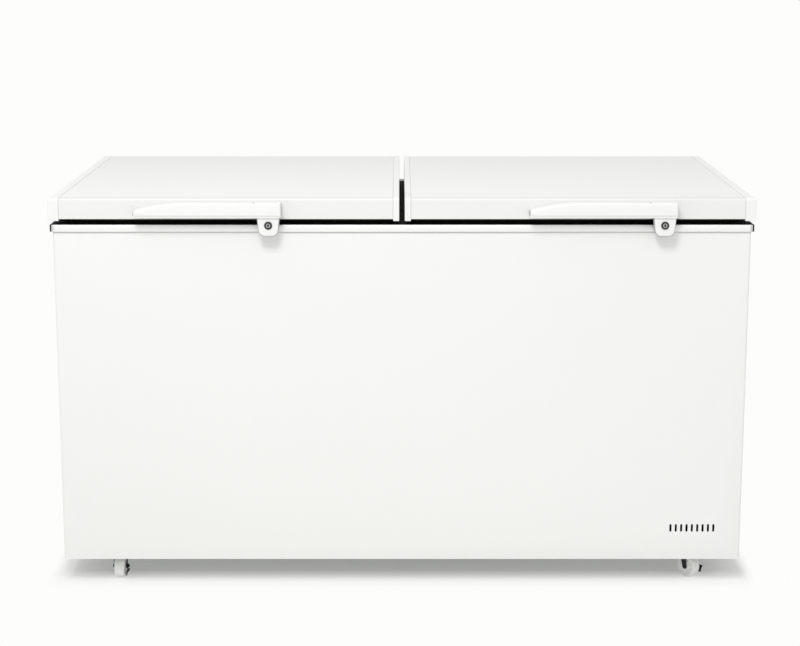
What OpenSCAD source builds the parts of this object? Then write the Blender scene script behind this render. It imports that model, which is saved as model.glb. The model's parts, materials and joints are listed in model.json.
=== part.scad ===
// White chest freezer with two counterbalanced lids on four casters.
// Millimetres, +Z up. X runs along the width, -Y is the front.
// The origin lies on the floor, under the middle of the whole outline.

/* [Casing] */
// Width of the painted casing
body_w = 1505; // [1300:5:1800]
// Depth of the painted casing
body_d = 690; // [600:5:800]
// Height of the painted casing
body_h = 742; // [700:2:860]
// Floor to the lower edge of the casing
floor_gap = 62; // [58:1:80]
// Thickness of the painted sheet
sheet_t = 1; // [0.8:0.1:1.5]
// Radius of the two vertical front corners
corner_r = 6; // [3:0.5:12]
// Length that the front panel wraps round to each side
corner_wrap = 14; // [13:1:30]
// Depth of the folded hem at the foot of each panel
hem_w = 12; // [6:1:20]
// Lower edge of the casing to the underside of the base plate
base_recess = 10; // [4:1:20]
// Thickness of the base plate
base_t = 1.2; // [1:0.1:2]

/* [Front vent] */
// Number of slots
slot_n = 9; // [3:1:15]
// Distance between slot centres
slot_pitch = 11.9; // [8:0.1:18]
// Width of a slot
slot_w = 4.3; // [2:0.1:6]
// Height of a slot
slot_h = 17.7; // [8:0.1:40]
// Side of the casing to the centre of the last slot
slot_edge = 60.5; // [40:0.5:120]
// Lower edge of the casing to the centre of the slots
slot_rise = 73; // [40:1:150]

/* [Insulation] */
// Wall from the outside of the casing to the outside of the tank
wall_t = 71; // [55:1:90]
// Foam under the tank
floor_t = 70; // [50:1:100]
// Foam between the machine bay and the tank
bay_wall = 62; // [45:1:80]
// Width of the machine bay
bay_w = 298; // [280:1:360]
// Height of the machine bay above the base plate
bay_h = 277; // [265:1:320]

/* [Tank] */
// Thickness of the tank sheet
tank_t = 1; // [0.6:0.1:2]
// Outer radius of the upright corners of the tank
tank_r = 30; // [15:1:60]
// Width of the ledge that carries the baskets
ledge_w = 10; // [6:1:16]
// Top of the rim to the top of the ledge
ledge_drop = 24; // [18:1:40]

/* [Rim] */
// Height of the trim rail round the top
rail_h = 15; // [10:1:25]
// Overhang of the rail beyond the casing
rail_over = 5; // [2:0.5:10]
// Wall of the rail
rail_t = 2; // [1.5:0.1:3]
// Depth of the lower flange of the rail
rail_foot = 12; // [8:1:20]
// Depth of the wide rear rail
rear_rail_d = 35; // [20:1:50]
// Wall of the black rim collar
rim_t = 3; // [2:0.5:5]
// Width of the bar between the two lids
mullion_w = 60; // [50:1:90]
// Height of the bar between the two lids
mullion_h = 30; // [26:1:50]

/* [Lids] */
// Gap between the two lids
lid_gap = 12; // [6:1:20]
// Overhang of a lid beyond the side of the casing
lid_over_side = 7.5; // [3:0.5:12]
// Overhang of a lid beyond the front of the casing
lid_over_front = 6.5; // [3:0.5:12]
// Overhang of a lid beyond the back of the casing
lid_over_rear = 5; // [2:0.5:6]
// Height of a lid
lid_h = 45; // [38:1:60]
// Thickness of the lid sheet
lid_t = 1; // [0.8:0.1:1.5]
// Radius along the upper edges of a lid
lid_edge_r = 5; // [3:0.5:10]
// Thickness of the inner liner of a lid
liner_t = 1.5; // [1:0.1:3]
// Depth of the raised panel under a lid
plug_h = 22; // [12:1:30]
// Gap between that panel and the rim
plug_gap = 8; // [5:0.5:15]
// Height of the magnetic gasket
seal_h = 13; // [10:0.5:18]
// Width of the magnetic gasket
seal_w = 16; // [10:0.5:20]
// Edge of the mouth to the inside of the gasket
seal_in = 4; // [2:0.5:8]
// Width of the outer end cap
cap_w = 23; // [18:1:32]
// Width of the inner end cap
cap_in_w = 13; // [10:1:20]
// Wall of the end caps
cap_t = 2.5; // [2:0.1:4]
// Height that the end caps stand proud of the lid sheet
cap_proud = 1; // [0.5:0.1:2]
// Length that the end caps hang below the lid sheet
cap_drop = 4.4; // [2:0.1:8]
// Radius of the outer upper edge of the outer end cap
cap_edge_r = 8; // [4:0.5:14]

/* [Handles and locks] */
// Length of a handle
handle_len = 317; // [250:1:400]
// Height of a handle
handle_h = 31; // [26:1:38]
// Reach of a handle in front of the lid
handle_out = 28.5; // [24:0.5:36]
// Front wall of a handle
handle_t = 5; // [3:0.5:7]
// Top wall of a handle
handle_top_t = 4; // [3:0.5:6]
// Height of the thin end of a handle
handle_tip_h = 14; // [8:1:20]
// Length of the curved rise from the thin end
handle_rise = 110; // [60:1:150]
// Lower edge of the lid sheet to the lower edge of a handle
handle_up = 7; // [4:0.5:10]
// Middle of the left lid to the middle of its handle
handle_left_off = -33; // [-60:1:60]
// Middle of the right lid to the middle of its handle
handle_right_off = 47.5; // [-60:0.5:60]
// Square end of a handle to the axis of its lock
lock_inset = 28; // [26:1:40]
// Width of the lock tab at its top
tab_w = 49; // [46:1:56]
// Width of the lock tab at its foot
tab_foot_w = 44; // [40:1:52]
// Length of the lock tab below the handle
tab_h = 41; // [36:1:50]
// Radius of the two lower corners of the tab
tab_r = 10; // [6:0.5:14]
// Depth of the lock tab
tab_d = 16; // [14:0.5:18]
// Set-back of the tab behind the face of the handle
tab_back = 4; // [2:0.5:6]
// Wall of the lock tab
tab_t = 2.5; // [2:0.1:3]
// Lower edge of the handle down to the axis of the lock
lock_drop = 17; // [15:0.5:20]
// Radius of the lock core
core_r = 5.5; // [4:0.1:6]
// Radius of the lock barrel
barrel_r = 7; // [6.5:0.1:8]
// Radius of the dark ring round the lock
bezel_r = 8.5; // [8:0.1:10]
// Length of the cam on the lock core
cam_len = 15; // [13:0.5:18]
// Width of the cam
cam_w = 8; // [5:0.5:9]

/* [Lid hinges] */
// Middle of a lid to each of its hinges
hinge_spread = 230; // [150:5:300]
// Radius of a hinge pin
pin_r = 4; // [3:0.1:5]
// Radius of the lid knuckle
knuckle_r = 7; // [6.5:0.1:8]
// Radius of the ears of the hinge channel
ear_r = 8; // [7.5:0.1:9]
// Length of the lid knuckle
knuckle_w = 20; // [16:0.5:26]
// Rear of the lid to the hinge axis
hinge_out = 13; // [12:0.5:16]
// Lower edge of the lid sheet up to the hinge axis
hinge_up = 8; // [6:0.5:12]
// Wall of the hinge channel
channel_t = 3; // [2:0.5:4]
// Depth of the hinge channel
channel_d = 30; // [28:0.5:36]
// Length of the hinge channel
channel_h = 104; // [80:1:150]

/* [Casters] */
// Diameter of a wheel
wheel_d = 50; // [40:1:50]
// Width of a wheel
wheel_w = 23; // [18:0.5:28]
// Offset of the axle from the swivel axis
trail = 18; // [10:0.5:22]
// Radius of an axle
axle_r = 3; // [2.5:0.1:4]
// Thickness of the fork plates
fork_t = 2; // [1.5:0.1:3]
// Radius of the kingpin
kingpin_r = 5; // [4:0.1:6]
// Side of the square caster plate
plate_w = 60; // [55:1:75]
// Thickness of the caster plate
plate_t = 2.5; // [2:0.1:4]
// Spacing of the bolts of a caster plate
plate_pitch = 46; // [42:1:60]
// Side of the casing to a swivel axis
caster_side = 115.5; // [90:0.5:150]
// Front or back of the casing to a swivel axis
caster_end = 75; // [60:1:120]
// Resting turn of the right front caster
caster_turn = 45; // [0:1:60]

/* [Baskets] */
// Width of a basket
basket_w = 330; // [240:5:400]
// Height of a basket
basket_h = 220; // [120:5:300]
// Thickness of the basket wires
wire_t = 4; // [3:0.5:5]
// Largest spacing of the basket wires
wire_gap = 42; // [30:1:80]
// Gap between a basket and the wall of the tank
basket_gap = 5; // [3:0.5:8]
// Middle of each half of the tank to the middle of its basket
basket_off = 0; // [-60:5:60]

/* [Cooling] */
// Radius of the refrigerant tube
tube_r = 4; // [3:0.1:4.5]
// Radius of the capillary tube
capillary_r = 2; // [1:0.1:3]
// Number of turns of the evaporator coil
coil_turns = 6; // [4:1:8]
// Radius of the compressor shell
shell_r = 70; // [60:1:72]
// Height of the compressor shell
shell_h = 171; // [140:1:175]
// Radius of the fan
fan_r = 75; // [60:1:80]
// Number of fan blades
blade_n = 5; // [3:1:7]
// Number of condenser fins
fin_n = 24; // [12:1:40]

/* [Drain] */
// Outer radius of the drain spigot under the casing
drain_r = 10; // [8:0.5:14]
// Wall of the drain tube
drain_t = 3; // [2:0.5:4]

/* [Hidden] */
$fn = 64;

// Running and seating clearances
fit = 0.06;
seat = 0.3;
slip = 0.5;
eps = 0.01;
over = 5;

// Screws
screw_r = 1.6;
hole_screw_r = 1.8;
screw_head_r = 3.4;
screw_head_t = 1.6;
strike_head_r = 2.6;
strike_head_t = 1.2;

// Casing
half_w = body_w / 2;
half_d = body_d / 2;
casing_z = floor_gap + body_h;
base_z = floor_gap + base_recess;
pan_z = base_z + base_t;
in_w = half_w - sheet_t;
in_d = half_d - sheet_t;

// Machine bay
bay_x = half_w - bay_w;
bay_z = pan_z + bay_h;

// Tank, measured outside
tank_w = half_w - wall_t;
tank_d = half_d - wall_t;
tank_z = pan_z + floor_t;
step_x = bay_x - bay_wall;
step_z = bay_z + bay_wall;
hold_w = tank_w - tank_t;
hold_d = tank_d - tank_t;

// Rim
rim_z = casing_z + rail_h;
rail_w = half_w + rail_over;
rail_d = half_d + rail_over;
mouth_w = hold_w + ledge_w;
mouth_d = hold_d + ledge_w;
ledge_z = rim_z - ledge_drop;
flange_z = ledge_z - rim_t;
collar_rear = rail_d - rear_rail_d;
foam_step = rail_foot - rail_over;

// Lids
lid_z = rim_z + seal_h;
lid_top = lid_z + lid_h;
lid_front = -half_d - lid_over_front;
lid_rear = half_d + lid_over_rear;
lid_out = half_w + lid_over_side;
lid_in = lid_gap / 2;
lid_mid = (lid_out + lid_in) / 2;
plug_out = mouth_w - plug_gap;
plug_in = mullion_w / 2 + plug_gap;
plug_d = mouth_d - plug_gap;

// Handles and locks
face_y = lid_front - handle_out;
tab_y = face_y + tab_back;
tab_rear = tab_y + tab_d;
handle_z = lid_z + handle_up;
lock_z = handle_z - lock_drop;
lock_left = -lid_mid + handle_left_off + handle_len / 2 - lock_inset;
lock_right = lid_mid + handle_right_off + handle_len / 2 - lock_inset;
cavity_back = lid_front - rim_t;
bezel_out = 2.5;
core_out = 2;
cam_t = 2;
cam_y = tab_rear + 2;
strike_t = 1.5;
strike_w = 12;
strike_off = 5;
strike_z = lock_z + cam_w / 2 + 1.2;
hole_off = 31;
hole_y = face_y + 10.25;
hole_r = 1.5;
tab_root = 10;
cavity_out = 20;

// Hinges
axis_y = lid_rear + hinge_out;
axis_z = lid_z + hinge_up;
cheek = knuckle_w / 2 + 1.3;
channel_back = half_d + channel_d;
channel_in = 4;
channel_top = casing_z - channel_in;
channel_z = channel_top - channel_h;
HINGE_X = [for (side = [-1, 1], end = [-1, 1]) side * lid_mid + end * hinge_spread];
flange_w = 14;
flange_hole = 7;
flange_hole_z = 20;
channel_rise = 16;
spring_r = 8.5;
spring_bore = 6.2;
plunger_r = 5.5;
plunger_up = 30;
collar_t = 3;
collar_z = channel_top - 14;

// Casters
axle_z = wheel_d / 2;
plate_z = base_z - plate_t;
fork_top = plate_z - slip;
crown_t = 3;
crown_z = fork_top - crown_t;
crown_r = 21;
head_r = 9;
caster_x = half_w - caster_side;
caster_y = half_d - caster_end;
leg_in = wheel_w / 2 + 1.5;
leg_out = leg_in + fork_t;
axle_head = 2;
brake_t = 2;
brake_gap = 0.4;
brake_x = leg_out + brake_gap;
bolt_r = 3;
bolt_head_r = 5.2;
bolt_head_t = 4;

// Baskets
basket_z = ledge_z + seat;
basket_d = hold_d - basket_gap;
basket_hook = mouth_d - 2;
hook_t = 5;
half_mid = (hold_w + mullion_w / 2) / 2;

// Machine bay pieces
bay_mid = (bay_x + in_w) / 2;
shell_rear = 160;
shell_off = 7;
shell_y = half_d - shell_rear;
shell_x = bay_mid + shell_off;
foot_h = 15;
foot_r = 12;
foot_dx = 73;
foot_dy = 45;
stud_r = 4;
washer_r = 8;
washer_t = 3;
cradle_w = 88;
cradle_d = 60;
cradle_t = 3;
cradle_z = pan_z + foot_h;
shell_z = cradle_z + cradle_t;
suction_up = 139;
discharge_up = 110;
cond_w = 232;
cond_t = 40;
cond_in = 15;
cond_front = -half_d + cond_in;
cond_mid = cond_front + cond_t / 2;
cond_rear = cond_front + cond_t;
cond_z = pan_z + 17;
cond_top = bay_z - 32;
cond_x = bay_x + 35;
cond_wall = 2;
riser_in = 20;
riser_up = 8;
fan_x = cond_x + cond_w / 2;
fan_z = (cond_z + cond_top) / 2 - 5;
shroud_t = 2;
shroud_y = cond_rear + shroud_t;
fan_gap = 2;
fan_y = shroud_y + fan_gap;
fan_w = 16;
motor_gap = 8;
motor_y = fan_y + fan_w + motor_gap;
motor_len = 22;
motor_r = 28;
shaft_r = 3;
line_in = 16;
line_z = bay_z - line_in;
coil_pocket = 2 * tube_r + seat + slip;
coil_off = tube_r + seat;
coil_w = tank_w + coil_off;
coil_d = tank_d + coil_off;
coil_r = tank_r + coil_off;
coil_margin = 12;
coil_low = step_z + 28;
coil_high = flange_z - 22;
supply_x = bay_mid - 3;
return_gap = 40;
return_x = supply_x - return_gap;
return_y = tank_d + 36;
coil_end_z = bay_z - 15;
bore_r = tube_r + 0.7;

// Rear grille, supply gland, thermostat
grille_in = 8;
grille_t = 1.2;
grille_x0 = bay_x + grille_in;
grille_x1 = in_w - grille_in;
grille_z0 = pan_z + grille_in;
grille_z1 = bay_z - grille_in;
grille_lap = 6;
gland_r = 8;
gland_bore = 4;
gland_in = 8;
gland_out = 4;
gland_end = half_d + grille_t + gland_out;
gland_x = grille_x0 + 16;
gland_z = grille_z0 + 22;
stat_y = -half_d + 225;
stat_z = pan_z + 157;
stat_r = 24;
knob_r = 17;
cup_d = 14;
cup_t = 2;
spindle_r = 3;
spindle_end = half_w - 3;

// Drain
drain_tube_r = drain_r + 1;
drain_x = -tank_w + 120;
drain_y = -tank_d + 60;
spigot_z = base_z - 6;
drain_end = spigot_z - 20;
drain_lip = 16;
drain_lip_t = 2;

// The outline runs from the handles to the hinge channels, and is centred over the origin
shift_y = -(channel_back + face_y) / 2;

// Refrigerant tubes in the machine bay. A lead is the straight run out of a joint.
lead = 25;
left_riser = cond_x + riser_in;
right_riser = cond_x + cond_w - riser_in;
drier_r = 9;
drier_len = 90;
drier_y = cond_mid + 4.4 * lead;
suction_path = [
    [return_x, return_y, coil_end_z],
    [return_x, return_y, coil_end_z - 1.8 * lead],
    [return_x - lead, return_y - 0.6 * lead, coil_end_z - 3 * lead],
    [shell_x - shell_r - 1.6 * lead, shell_y + 3 * lead, shell_z + suction_up + 0.25 * lead],
    [shell_x - shell_r - 2 * lead, shell_y + 1.2 * lead, shell_z + suction_up],
    [shell_x - shell_r - 2 * lead, shell_y, shell_z + suction_up],
    [shell_x - shell_r - lead, shell_y, shell_z + suction_up]
];
discharge_path = [
    [shell_x, shell_y - shell_r - lead, shell_z + discharge_up],
    [shell_x, shell_y - shell_r - 2 * lead, shell_z + discharge_up],
    [shell_x + 0.8 * lead, shell_y - shell_r - 3.2 * lead, shell_z + discharge_up + 1.6 * lead],
    [right_riser, shell_y - shell_r - 4.8 * lead, line_z - 0.4 * lead],
    [right_riser, shell_y - shell_r - 7.2 * lead, line_z],
    [right_riser, cond_mid + lead, line_z],
    [right_riser, cond_mid, line_z],
    [right_riser, cond_mid, cond_top + riser_up]
];
liquid_path = [
    [left_riser, cond_mid, cond_top + riser_up],
    [left_riser, cond_mid, line_z],
    [left_riser, cond_mid + lead, line_z],
    [left_riser, drier_y, line_z]
];
capillary_path = [
    [left_riser, drier_y + drier_len, line_z],
    [left_riser, drier_y + drier_len + 2 * lead, line_z],
    [left_riser + 1.2 * lead, shell_y - 3.4 * lead, line_z],
    [supply_x - 0.8 * lead, coil_d - 1.6 * lead, line_z - 0.4 * lead],
    [supply_x, coil_d, line_z - 0.72 * lead],
    [supply_x, coil_d, coil_end_z]
];

// Colours
WHITE = [0.95, 0.95, 0.93];
CAP_WHITE = [0.93, 0.93, 0.92];
SILVER = [0.8, 0.81, 0.82];
BLACK = [0.05, 0.05, 0.05];
DARK = [0.2, 0.2, 0.21];
ZINC = [0.62, 0.63, 0.64];
FOAM = [0.93, 0.88, 0.66];
COPPER = [0.75, 0.45, 0.3];

// Moves a shape from casing coordinates to the part's own frame
module place() {
    translate([0, shift_y, 0]) children();
}

// Box between two opposite corners
module block(a, b) {
    translate(a) cube(b - a);
}

// Box that is the same on both sides of X = 0 and Y = 0
module slab(hx, hy, z0, z1) {
    block([-hx, -hy, z0], [hx, hy, z1]);
}

// Rectangle with round corners about the origin
module rounded_rect(hx, hy, r) {
    square([2 * (hx - r), 2 * hy], center = true);
    square([2 * hx, 2 * (hy - r)], center = true);
    for (sx = [-1, 1], sy = [-1, 1])
        translate([sx * (hx - r), sy * (hy - r)]) circle(r);
}

// Outline in X and Z, made solid from y0 to y1
module along_y(y0, y1) {
    translate([0, y1, 0]) rotate([90, 0, 0]) linear_extrude(y1 - y0) children();
}

// Outline in Y and Z, made solid from x0 to x1
module along_x(x0, x1) {
    translate([x0, 0, 0]) rotate([90, 0, 90]) linear_extrude(x1 - x0) children();
}

// Cylinders along X and Y
module rod_x(r, x0, x1, y, z) {
    translate([x0, y, z]) rotate([0, 90, 0]) cylinder(r = r, h = x1 - x0);
}
module rod_y(r, y0, y1, x, z) {
    translate([x, y1, z]) rotate([90, 0, 0]) cylinder(r = r, h = y1 - y0);
}

// Corner cutting, which turns a list of route points into a smooth run
function smoothed(p, times) =
    times == 0 ? p : smoothed(concat(
        [p[0]],
        [for (i = [0:len(p) - 2]) each [
            if (i > 0) p[i] * 0.75 + p[i + 1] * 0.25,
            if (i < len(p) - 2) p[i] * 0.25 + p[i + 1] * 0.75
        ]],
        [p[len(p) - 1]]
    ), times - 1);

function unit(v) = v / norm(v);
function heading(p, i) =
    i == 0 ? unit(p[1] - p[0]) :
    i == len(p) - 1 ? unit(p[i] - p[i - 1]) :
    unit(unit(p[i + 1] - p[i]) + unit(p[i] - p[i - 1]));
function squared_to(n, t) = unit(n - t * (n * t));
function any_normal(t) = squared_to(abs(t[2]) < 0.9 ? [0, 0, 1] : [1, 0, 0], t);

// Tube swept along a list of points
module tube(p, r, sides) {
    turns = len(p);
    t = [for (i = [0:turns - 1]) heading(p, i)];
    n = [for (i = 0, v = any_normal(t[0]); i < turns;
        i = i + 1, v = i < turns ? squared_to(v, t[i]) : v) v];
    points = [for (i = [0:turns - 1], k = [0:sides - 1])
        p[i] + r * (cos(360 * k / sides) * n[i] + sin(360 * k / sides) * cross(t[i], n[i]))];
    walls = [for (i = [0:turns - 2], k = [0:sides - 1])
        let (a = i * sides + k, b = i * sides + (k + 1) % sides)
        each [[a, a + sides, b], [b, a + sides, b + sides]]];
    ends = [[for (k = [0:sides - 1]) k], [for (k = [sides - 1:-1:0]) (turns - 1) * sides + k]];
    polyhedron(points, concat(ends, walls));
}

// Casing

module front_vent() {
    for (i = [0:slot_n - 1])
        translate([half_w - slot_edge - i * slot_pitch, floor_gap + slot_rise]) {
            square([slot_w, slot_h - slot_w], center = true);
            for (s = [-1, 1])
                translate([0, s * (slot_h - slot_w) / 2]) circle(slot_w / 2);
        }
}

module front_panel() color(WHITE) place() {
    difference() {
        union() {
            translate([0, 0, floor_gap]) linear_extrude(body_h) difference() {
                rounded_rect(half_w, half_d, corner_r);
                rounded_rect(in_w, in_d, corner_r - sheet_t);
                translate([-half_w - over, -half_d + corner_wrap])
                    square([body_w + 2 * over, body_d]);
            }
            block([-half_w + corner_r, -in_d - eps, floor_gap],
                [half_w - corner_r, -in_d + hem_w, floor_gap + sheet_t]);
        }
        along_y(-half_d - over, -in_d + over) front_vent();
    }
}

module side_panel() {
    block([in_w, -half_d + corner_wrap, floor_gap], [half_w, in_d, casing_z]);
    block([in_w - hem_w, -half_d + corner_wrap, floor_gap], [in_w + eps, in_d, floor_gap + sheet_t]);
}

module side_panel_left() color(WHITE) place() {
    mirror([1, 0, 0]) side_panel();
}

module side_panel_right() color(WHITE) place() {
    difference() {
        side_panel();
        rod_x(stat_r, in_w - over, half_w + over, stat_y, stat_z);
    }
}

module hinge_screw_points() {
    for (x = HINGE_X, sx = [-1, 1], z = [channel_z + flange_hole_z, channel_top - flange_hole_z])
        translate([x + sx * (cheek + channel_t + flange_hole), 0, z]) children();
}

module hinge_flange_holes() {
    hinge_screw_points() rod_y(hole_screw_r, in_d - over, half_d + over + channel_t, 0, 0);
}

module grille_screw_points() {
    for (x = [grille_x0 - grille_lap / 2, grille_x1 + grille_lap / 2],
        z = [grille_z0, (grille_z0 + grille_z1) / 2, grille_z1])
        translate([x, 0, z]) children();
}

module grille_screw_holes() {
    grille_screw_points() rod_y(hole_screw_r, in_d - over, half_d + over, 0, 0);
}

module back_panel() color(WHITE) place() {
    difference() {
        block([-half_w, in_d, floor_gap], [half_w, half_d, casing_z]);
        block([grille_x0, in_d - over, grille_z0], [grille_x1, half_d + over, grille_z1]);
        hinge_flange_holes();
        grille_screw_holes();
    }
}

module caster_bolt_points() {
    for (sx = [-1, 1], sy = [-1, 1], bx = [-1, 1], by = [-1, 1])
        translate([sx * caster_x + bx * plate_pitch / 2, sy * caster_y + by * plate_pitch / 2, 0])
            children();
}

module base_plate() color(ZINC) place() {
    difference() {
        intersection() {
            union() {
                slab(in_w, in_d, base_z, pan_z);
                block([bay_x - base_t, -in_d, base_z], [bay_x, in_d, bay_z + base_t]);
                block([bay_x - base_t, -in_d, bay_z], [in_w, in_d, bay_z + base_t]);
            }
            linear_extrude(bay_z + over) rounded_rect(in_w, in_d, corner_r - sheet_t);
        }
        caster_bolt_points()
            translate([0, 0, base_z - over]) cylinder(r = bolt_r + 0.2, h = base_t + 2 * over);
        translate([drain_x, drain_y, base_z - over])
            cylinder(r = drain_tube_r + 0.2, h = base_t + 2 * over);
        translate([supply_x, coil_d, bay_z - over]) cylinder(r = bore_r, h = base_t + 2 * over);
        translate([return_x, return_y, bay_z - over]) cylinder(r = bore_r, h = base_t + 2 * over);
    }
}

// Insulation and tank

// Side outline of the tank, stepped over the machine bay, drawn in by t
module tank_outline(t, top) {
    polygon([
        [-tank_w + t, tank_z + t],
        [step_x - t, tank_z + t],
        [step_x - t, step_z + t],
        [tank_w - t, step_z + t],
        [tank_w - t, top],
        [-tank_w + t, top]
    ]);
}

module tank_form(t, top) {
    intersection() {
        along_y(-tank_d + t, tank_d - t) tank_outline(t, top);
        translate([0, 0, tank_z])
            linear_extrude(top) rounded_rect(tank_w - t, tank_d - t, tank_r - t);
    }
}

module insulation() color(FOAM) place() {
    difference() {
        union() {
            translate([0, 0, pan_z]) linear_extrude(casing_z - pan_z)
                rounded_rect(in_w, in_d, corner_r - sheet_t);
            slab(half_w - foam_step, half_d - foam_step, casing_z - eps, rim_z - rim_t);
        }
        tank_form(0, flange_z + over);
        slab(mouth_w + rim_t, mouth_d + rim_t, flange_z - tank_t, rim_z + over);
        translate([0, 0, coil_low - coil_margin])
            linear_extrude(coil_high - coil_low + 2 * coil_margin)
            rounded_rect(tank_w + coil_pocket, tank_d + coil_pocket, tank_r + coil_pocket);
        block([bay_x - base_t, -half_d, base_z], [half_w, half_d, bay_z + base_t]);
        translate([drain_x, drain_y, base_z]) cylinder(r = drain_tube_r + 0.2, h = floor_t + over);
        translate([supply_x, coil_d, bay_z]) cylinder(r = bore_r, h = coil_low - bay_z);
        block([supply_x - 2 * coil_margin, tank_d - eps, coil_low - 2.7 * coil_margin],
            [supply_x + bore_r, coil_d + bore_r, coil_low]);
        translate([return_x, return_y, bay_z])
            cylinder(r = bore_r, h = coil_high + 0.8 * coil_margin - bay_z);
        block([return_x - bore_r, tank_d + over, coil_high - 1.25 * coil_margin],
            [supply_x + 3.4 * coil_margin, return_y + bore_r, coil_high + 0.9 * coil_margin]);
    }
}

module inner_tank() color(SILVER) place() {
    difference() {
        union() {
            tank_form(0, flange_z);
            slab(mouth_w + rim_t, mouth_d + rim_t, flange_z - tank_t, flange_z);
        }
        tank_form(tank_t, flange_z + over);
        translate([drain_x, drain_y, tank_z - over]) cylinder(r = drain_tube_r + 0.2, h = 2 * over);
    }
}

// Rim

// Cross-section of a trim rail: front wall and foot
module rail_profile() {
    square([rail_t, rail_h]);
    square([rail_foot, rail_t]);
}

module strike_screws(r, y0, y1) {
    for (x = [lock_left, lock_right], s = [-1, 1])
        rod_y(r, y0, y1, x - strike_off - strike_w / 2 + s * strike_w / 4, casing_z + rail_h / 2);
}

module top_rail_front() color(SILVER) place() {
    difference() {
        along_x(-rail_w, rail_w) translate([-rail_d, casing_z]) rail_profile();
        strike_screws(hole_screw_r, -rail_d - over, -rail_d + rail_t + over);
    }
}

module top_rails_side() color(SILVER) place() {
    for (s = [0, 1]) mirror([s, 0, 0])
        along_y(-rail_d + rail_foot, rail_d)
            translate([rail_w, casing_z]) mirror([1, 0]) rail_profile();
    for (s = [0, 1]) mirror([s, 0, 0])
        block([rail_w - rail_t, -rail_d + rail_t, casing_z + rail_t],
            [rail_w, -rail_d + rail_foot, rim_z]);
}

module top_rail_rear() color(WHITE) place() {
    block([-rail_w + rail_t, rail_d - rail_t, casing_z + rail_t], [rail_w - rail_t, rail_d, rim_z]);
    block([-rail_w + rail_t, collar_rear, rim_z - rail_t], [rail_w - rail_t, rail_d, rim_z]);
    block([-rail_w + rail_foot, rail_d - rail_foot, casing_z],
        [rail_w - rail_foot, rail_d, casing_z + rail_t]);
}

module rim_collar() color(BLACK) place() {
    difference() {
        union() {
            block([-rail_w + rail_t, -rail_d + rail_t, rim_z - rim_t],
                [rail_w - rail_t, collar_rear, rim_z]);
            slab(mouth_w + rim_t, mouth_d + rim_t, flange_z, rim_z);
        }
        slab(mouth_w, mouth_d, ledge_z, rim_z + over);
        slab(hold_w, hold_d, flange_z - over, rim_z);
    }
}

module centre_mullion() color(BLACK) place() {
    difference() {
        union() {
            slab(mullion_w / 2, hold_d - seat, rim_z - mullion_h, rim_z);
            slab(mullion_w / 2, mouth_d, ledge_z, rim_z);
        }
        slab(mullion_w / 2 - rim_t, hold_d - rim_t, rim_z - mullion_h + rim_t, rim_z - rim_t);
    }
}

// Machine bay

// Route of the evaporator: up from the bay, round the tank, and down again behind it
coil_corner = [0:15:90];
coil_lap = [for (c = [1:4], a = coil_corner)
    let (sx = c == 1 || c == 2 ? -1 : 1, sy = c == 1 || c == 4 ? 1 : -1, turn = 90 * c + a)
    [sx * (coil_w - coil_r) + coil_r * cos(turn), sy * (coil_d - coil_r) + coil_r * sin(turn)]];
coil_steps = len(coil_lap);
coil_rise = (coil_high - coil_low) / coil_turns;
coil_path = concat(
    [[supply_x, coil_d, coil_end_z], [supply_x, coil_d, coil_low - 5.5 * tube_r],
        [supply_x - tube_r, coil_d, coil_low - 2 * tube_r],
        [supply_x - 4 * tube_r, coil_d, coil_low]],
    [for (k = [0:coil_turns - 1], i = [0:coil_steps - 1])
        [coil_lap[i][0], coil_lap[i][1], coil_low + coil_rise * (k + (i + 1) / coil_steps)]],
    [[supply_x + 6 * tube_r, coil_d, coil_high],
        [return_x + 5 * tube_r, coil_d + 3 * tube_r, coil_high],
        [return_x + tube_r, return_y - 1.5 * tube_r, coil_high - 0.5 * tube_r],
        [return_x, return_y, coil_high - 3.5 * tube_r], [return_x, return_y, coil_end_z]]
);

module evaporator_coil() color(COPPER) place() {
    tube(coil_path, tube_r, 6);
}

module compressor() color(BLACK) place() {
    shell_round = 30;
    weld_h = 4;
    relay_in = 14;
    relay_out = 32;
    relay_w = 48;
    relay_z = 30;
    relay_h = 54;
    translate([shell_x, shell_y, shell_z]) rotate_extrude() {
        square([shell_r - shell_round, shell_h]);
        translate([0, shell_round]) square([shell_r, shell_h - 2 * shell_round]);
        for (z = [shell_round, shell_h - shell_round])
            intersection() {
                translate([shell_r - shell_round, z]) circle(shell_round);
                square([shell_r + over, shell_h]);
            }
        translate([0, shell_h * 0.55]) square([shell_r + weld_h, weld_h]);
    }
    rod_x(tube_r, shell_x - shell_r - lead, shell_x - shell_r / 2, shell_y, shell_z + suction_up);
    rod_y(tube_r, shell_y - shell_r - lead, shell_y - shell_r / 2, shell_x, shell_z + discharge_up);
    difference() {
        block([shell_x - cradle_w, shell_y - cradle_d, cradle_z],
            [shell_x + cradle_w, shell_y + cradle_d, shell_z]);
        foot_points()
            translate([0, 0, cradle_z - over]) cylinder(r = stud_r + 0.2, h = cradle_t + 2 * over);
    }
    difference() {
        block([shell_x + shell_r - relay_in, shell_y - relay_w / 2, shell_z + relay_z],
            [shell_x + shell_r + relay_out, shell_y + relay_w / 2, shell_z + relay_z + relay_h]);
        translate([shell_x, shell_y, shell_z]) cylinder(r = shell_r + seat, h = shell_h);
    }
}

module foot_points() {
    for (sx = [-1, 1], sy = [-1, 1])
        translate([shell_x + sx * foot_dx, shell_y + sy * foot_dy, 0]) children();
}

module compressor_feet() color(DARK) place() {
    foot_points() translate([0, 0, pan_z]) {
        cylinder(r = foot_r, h = foot_h);
        cylinder(r = stud_r, h = foot_h + cradle_t + washer_t);
        translate([0, 0, foot_h + cradle_t]) cylinder(r = washer_r, h = washer_t);
    }
}

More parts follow.
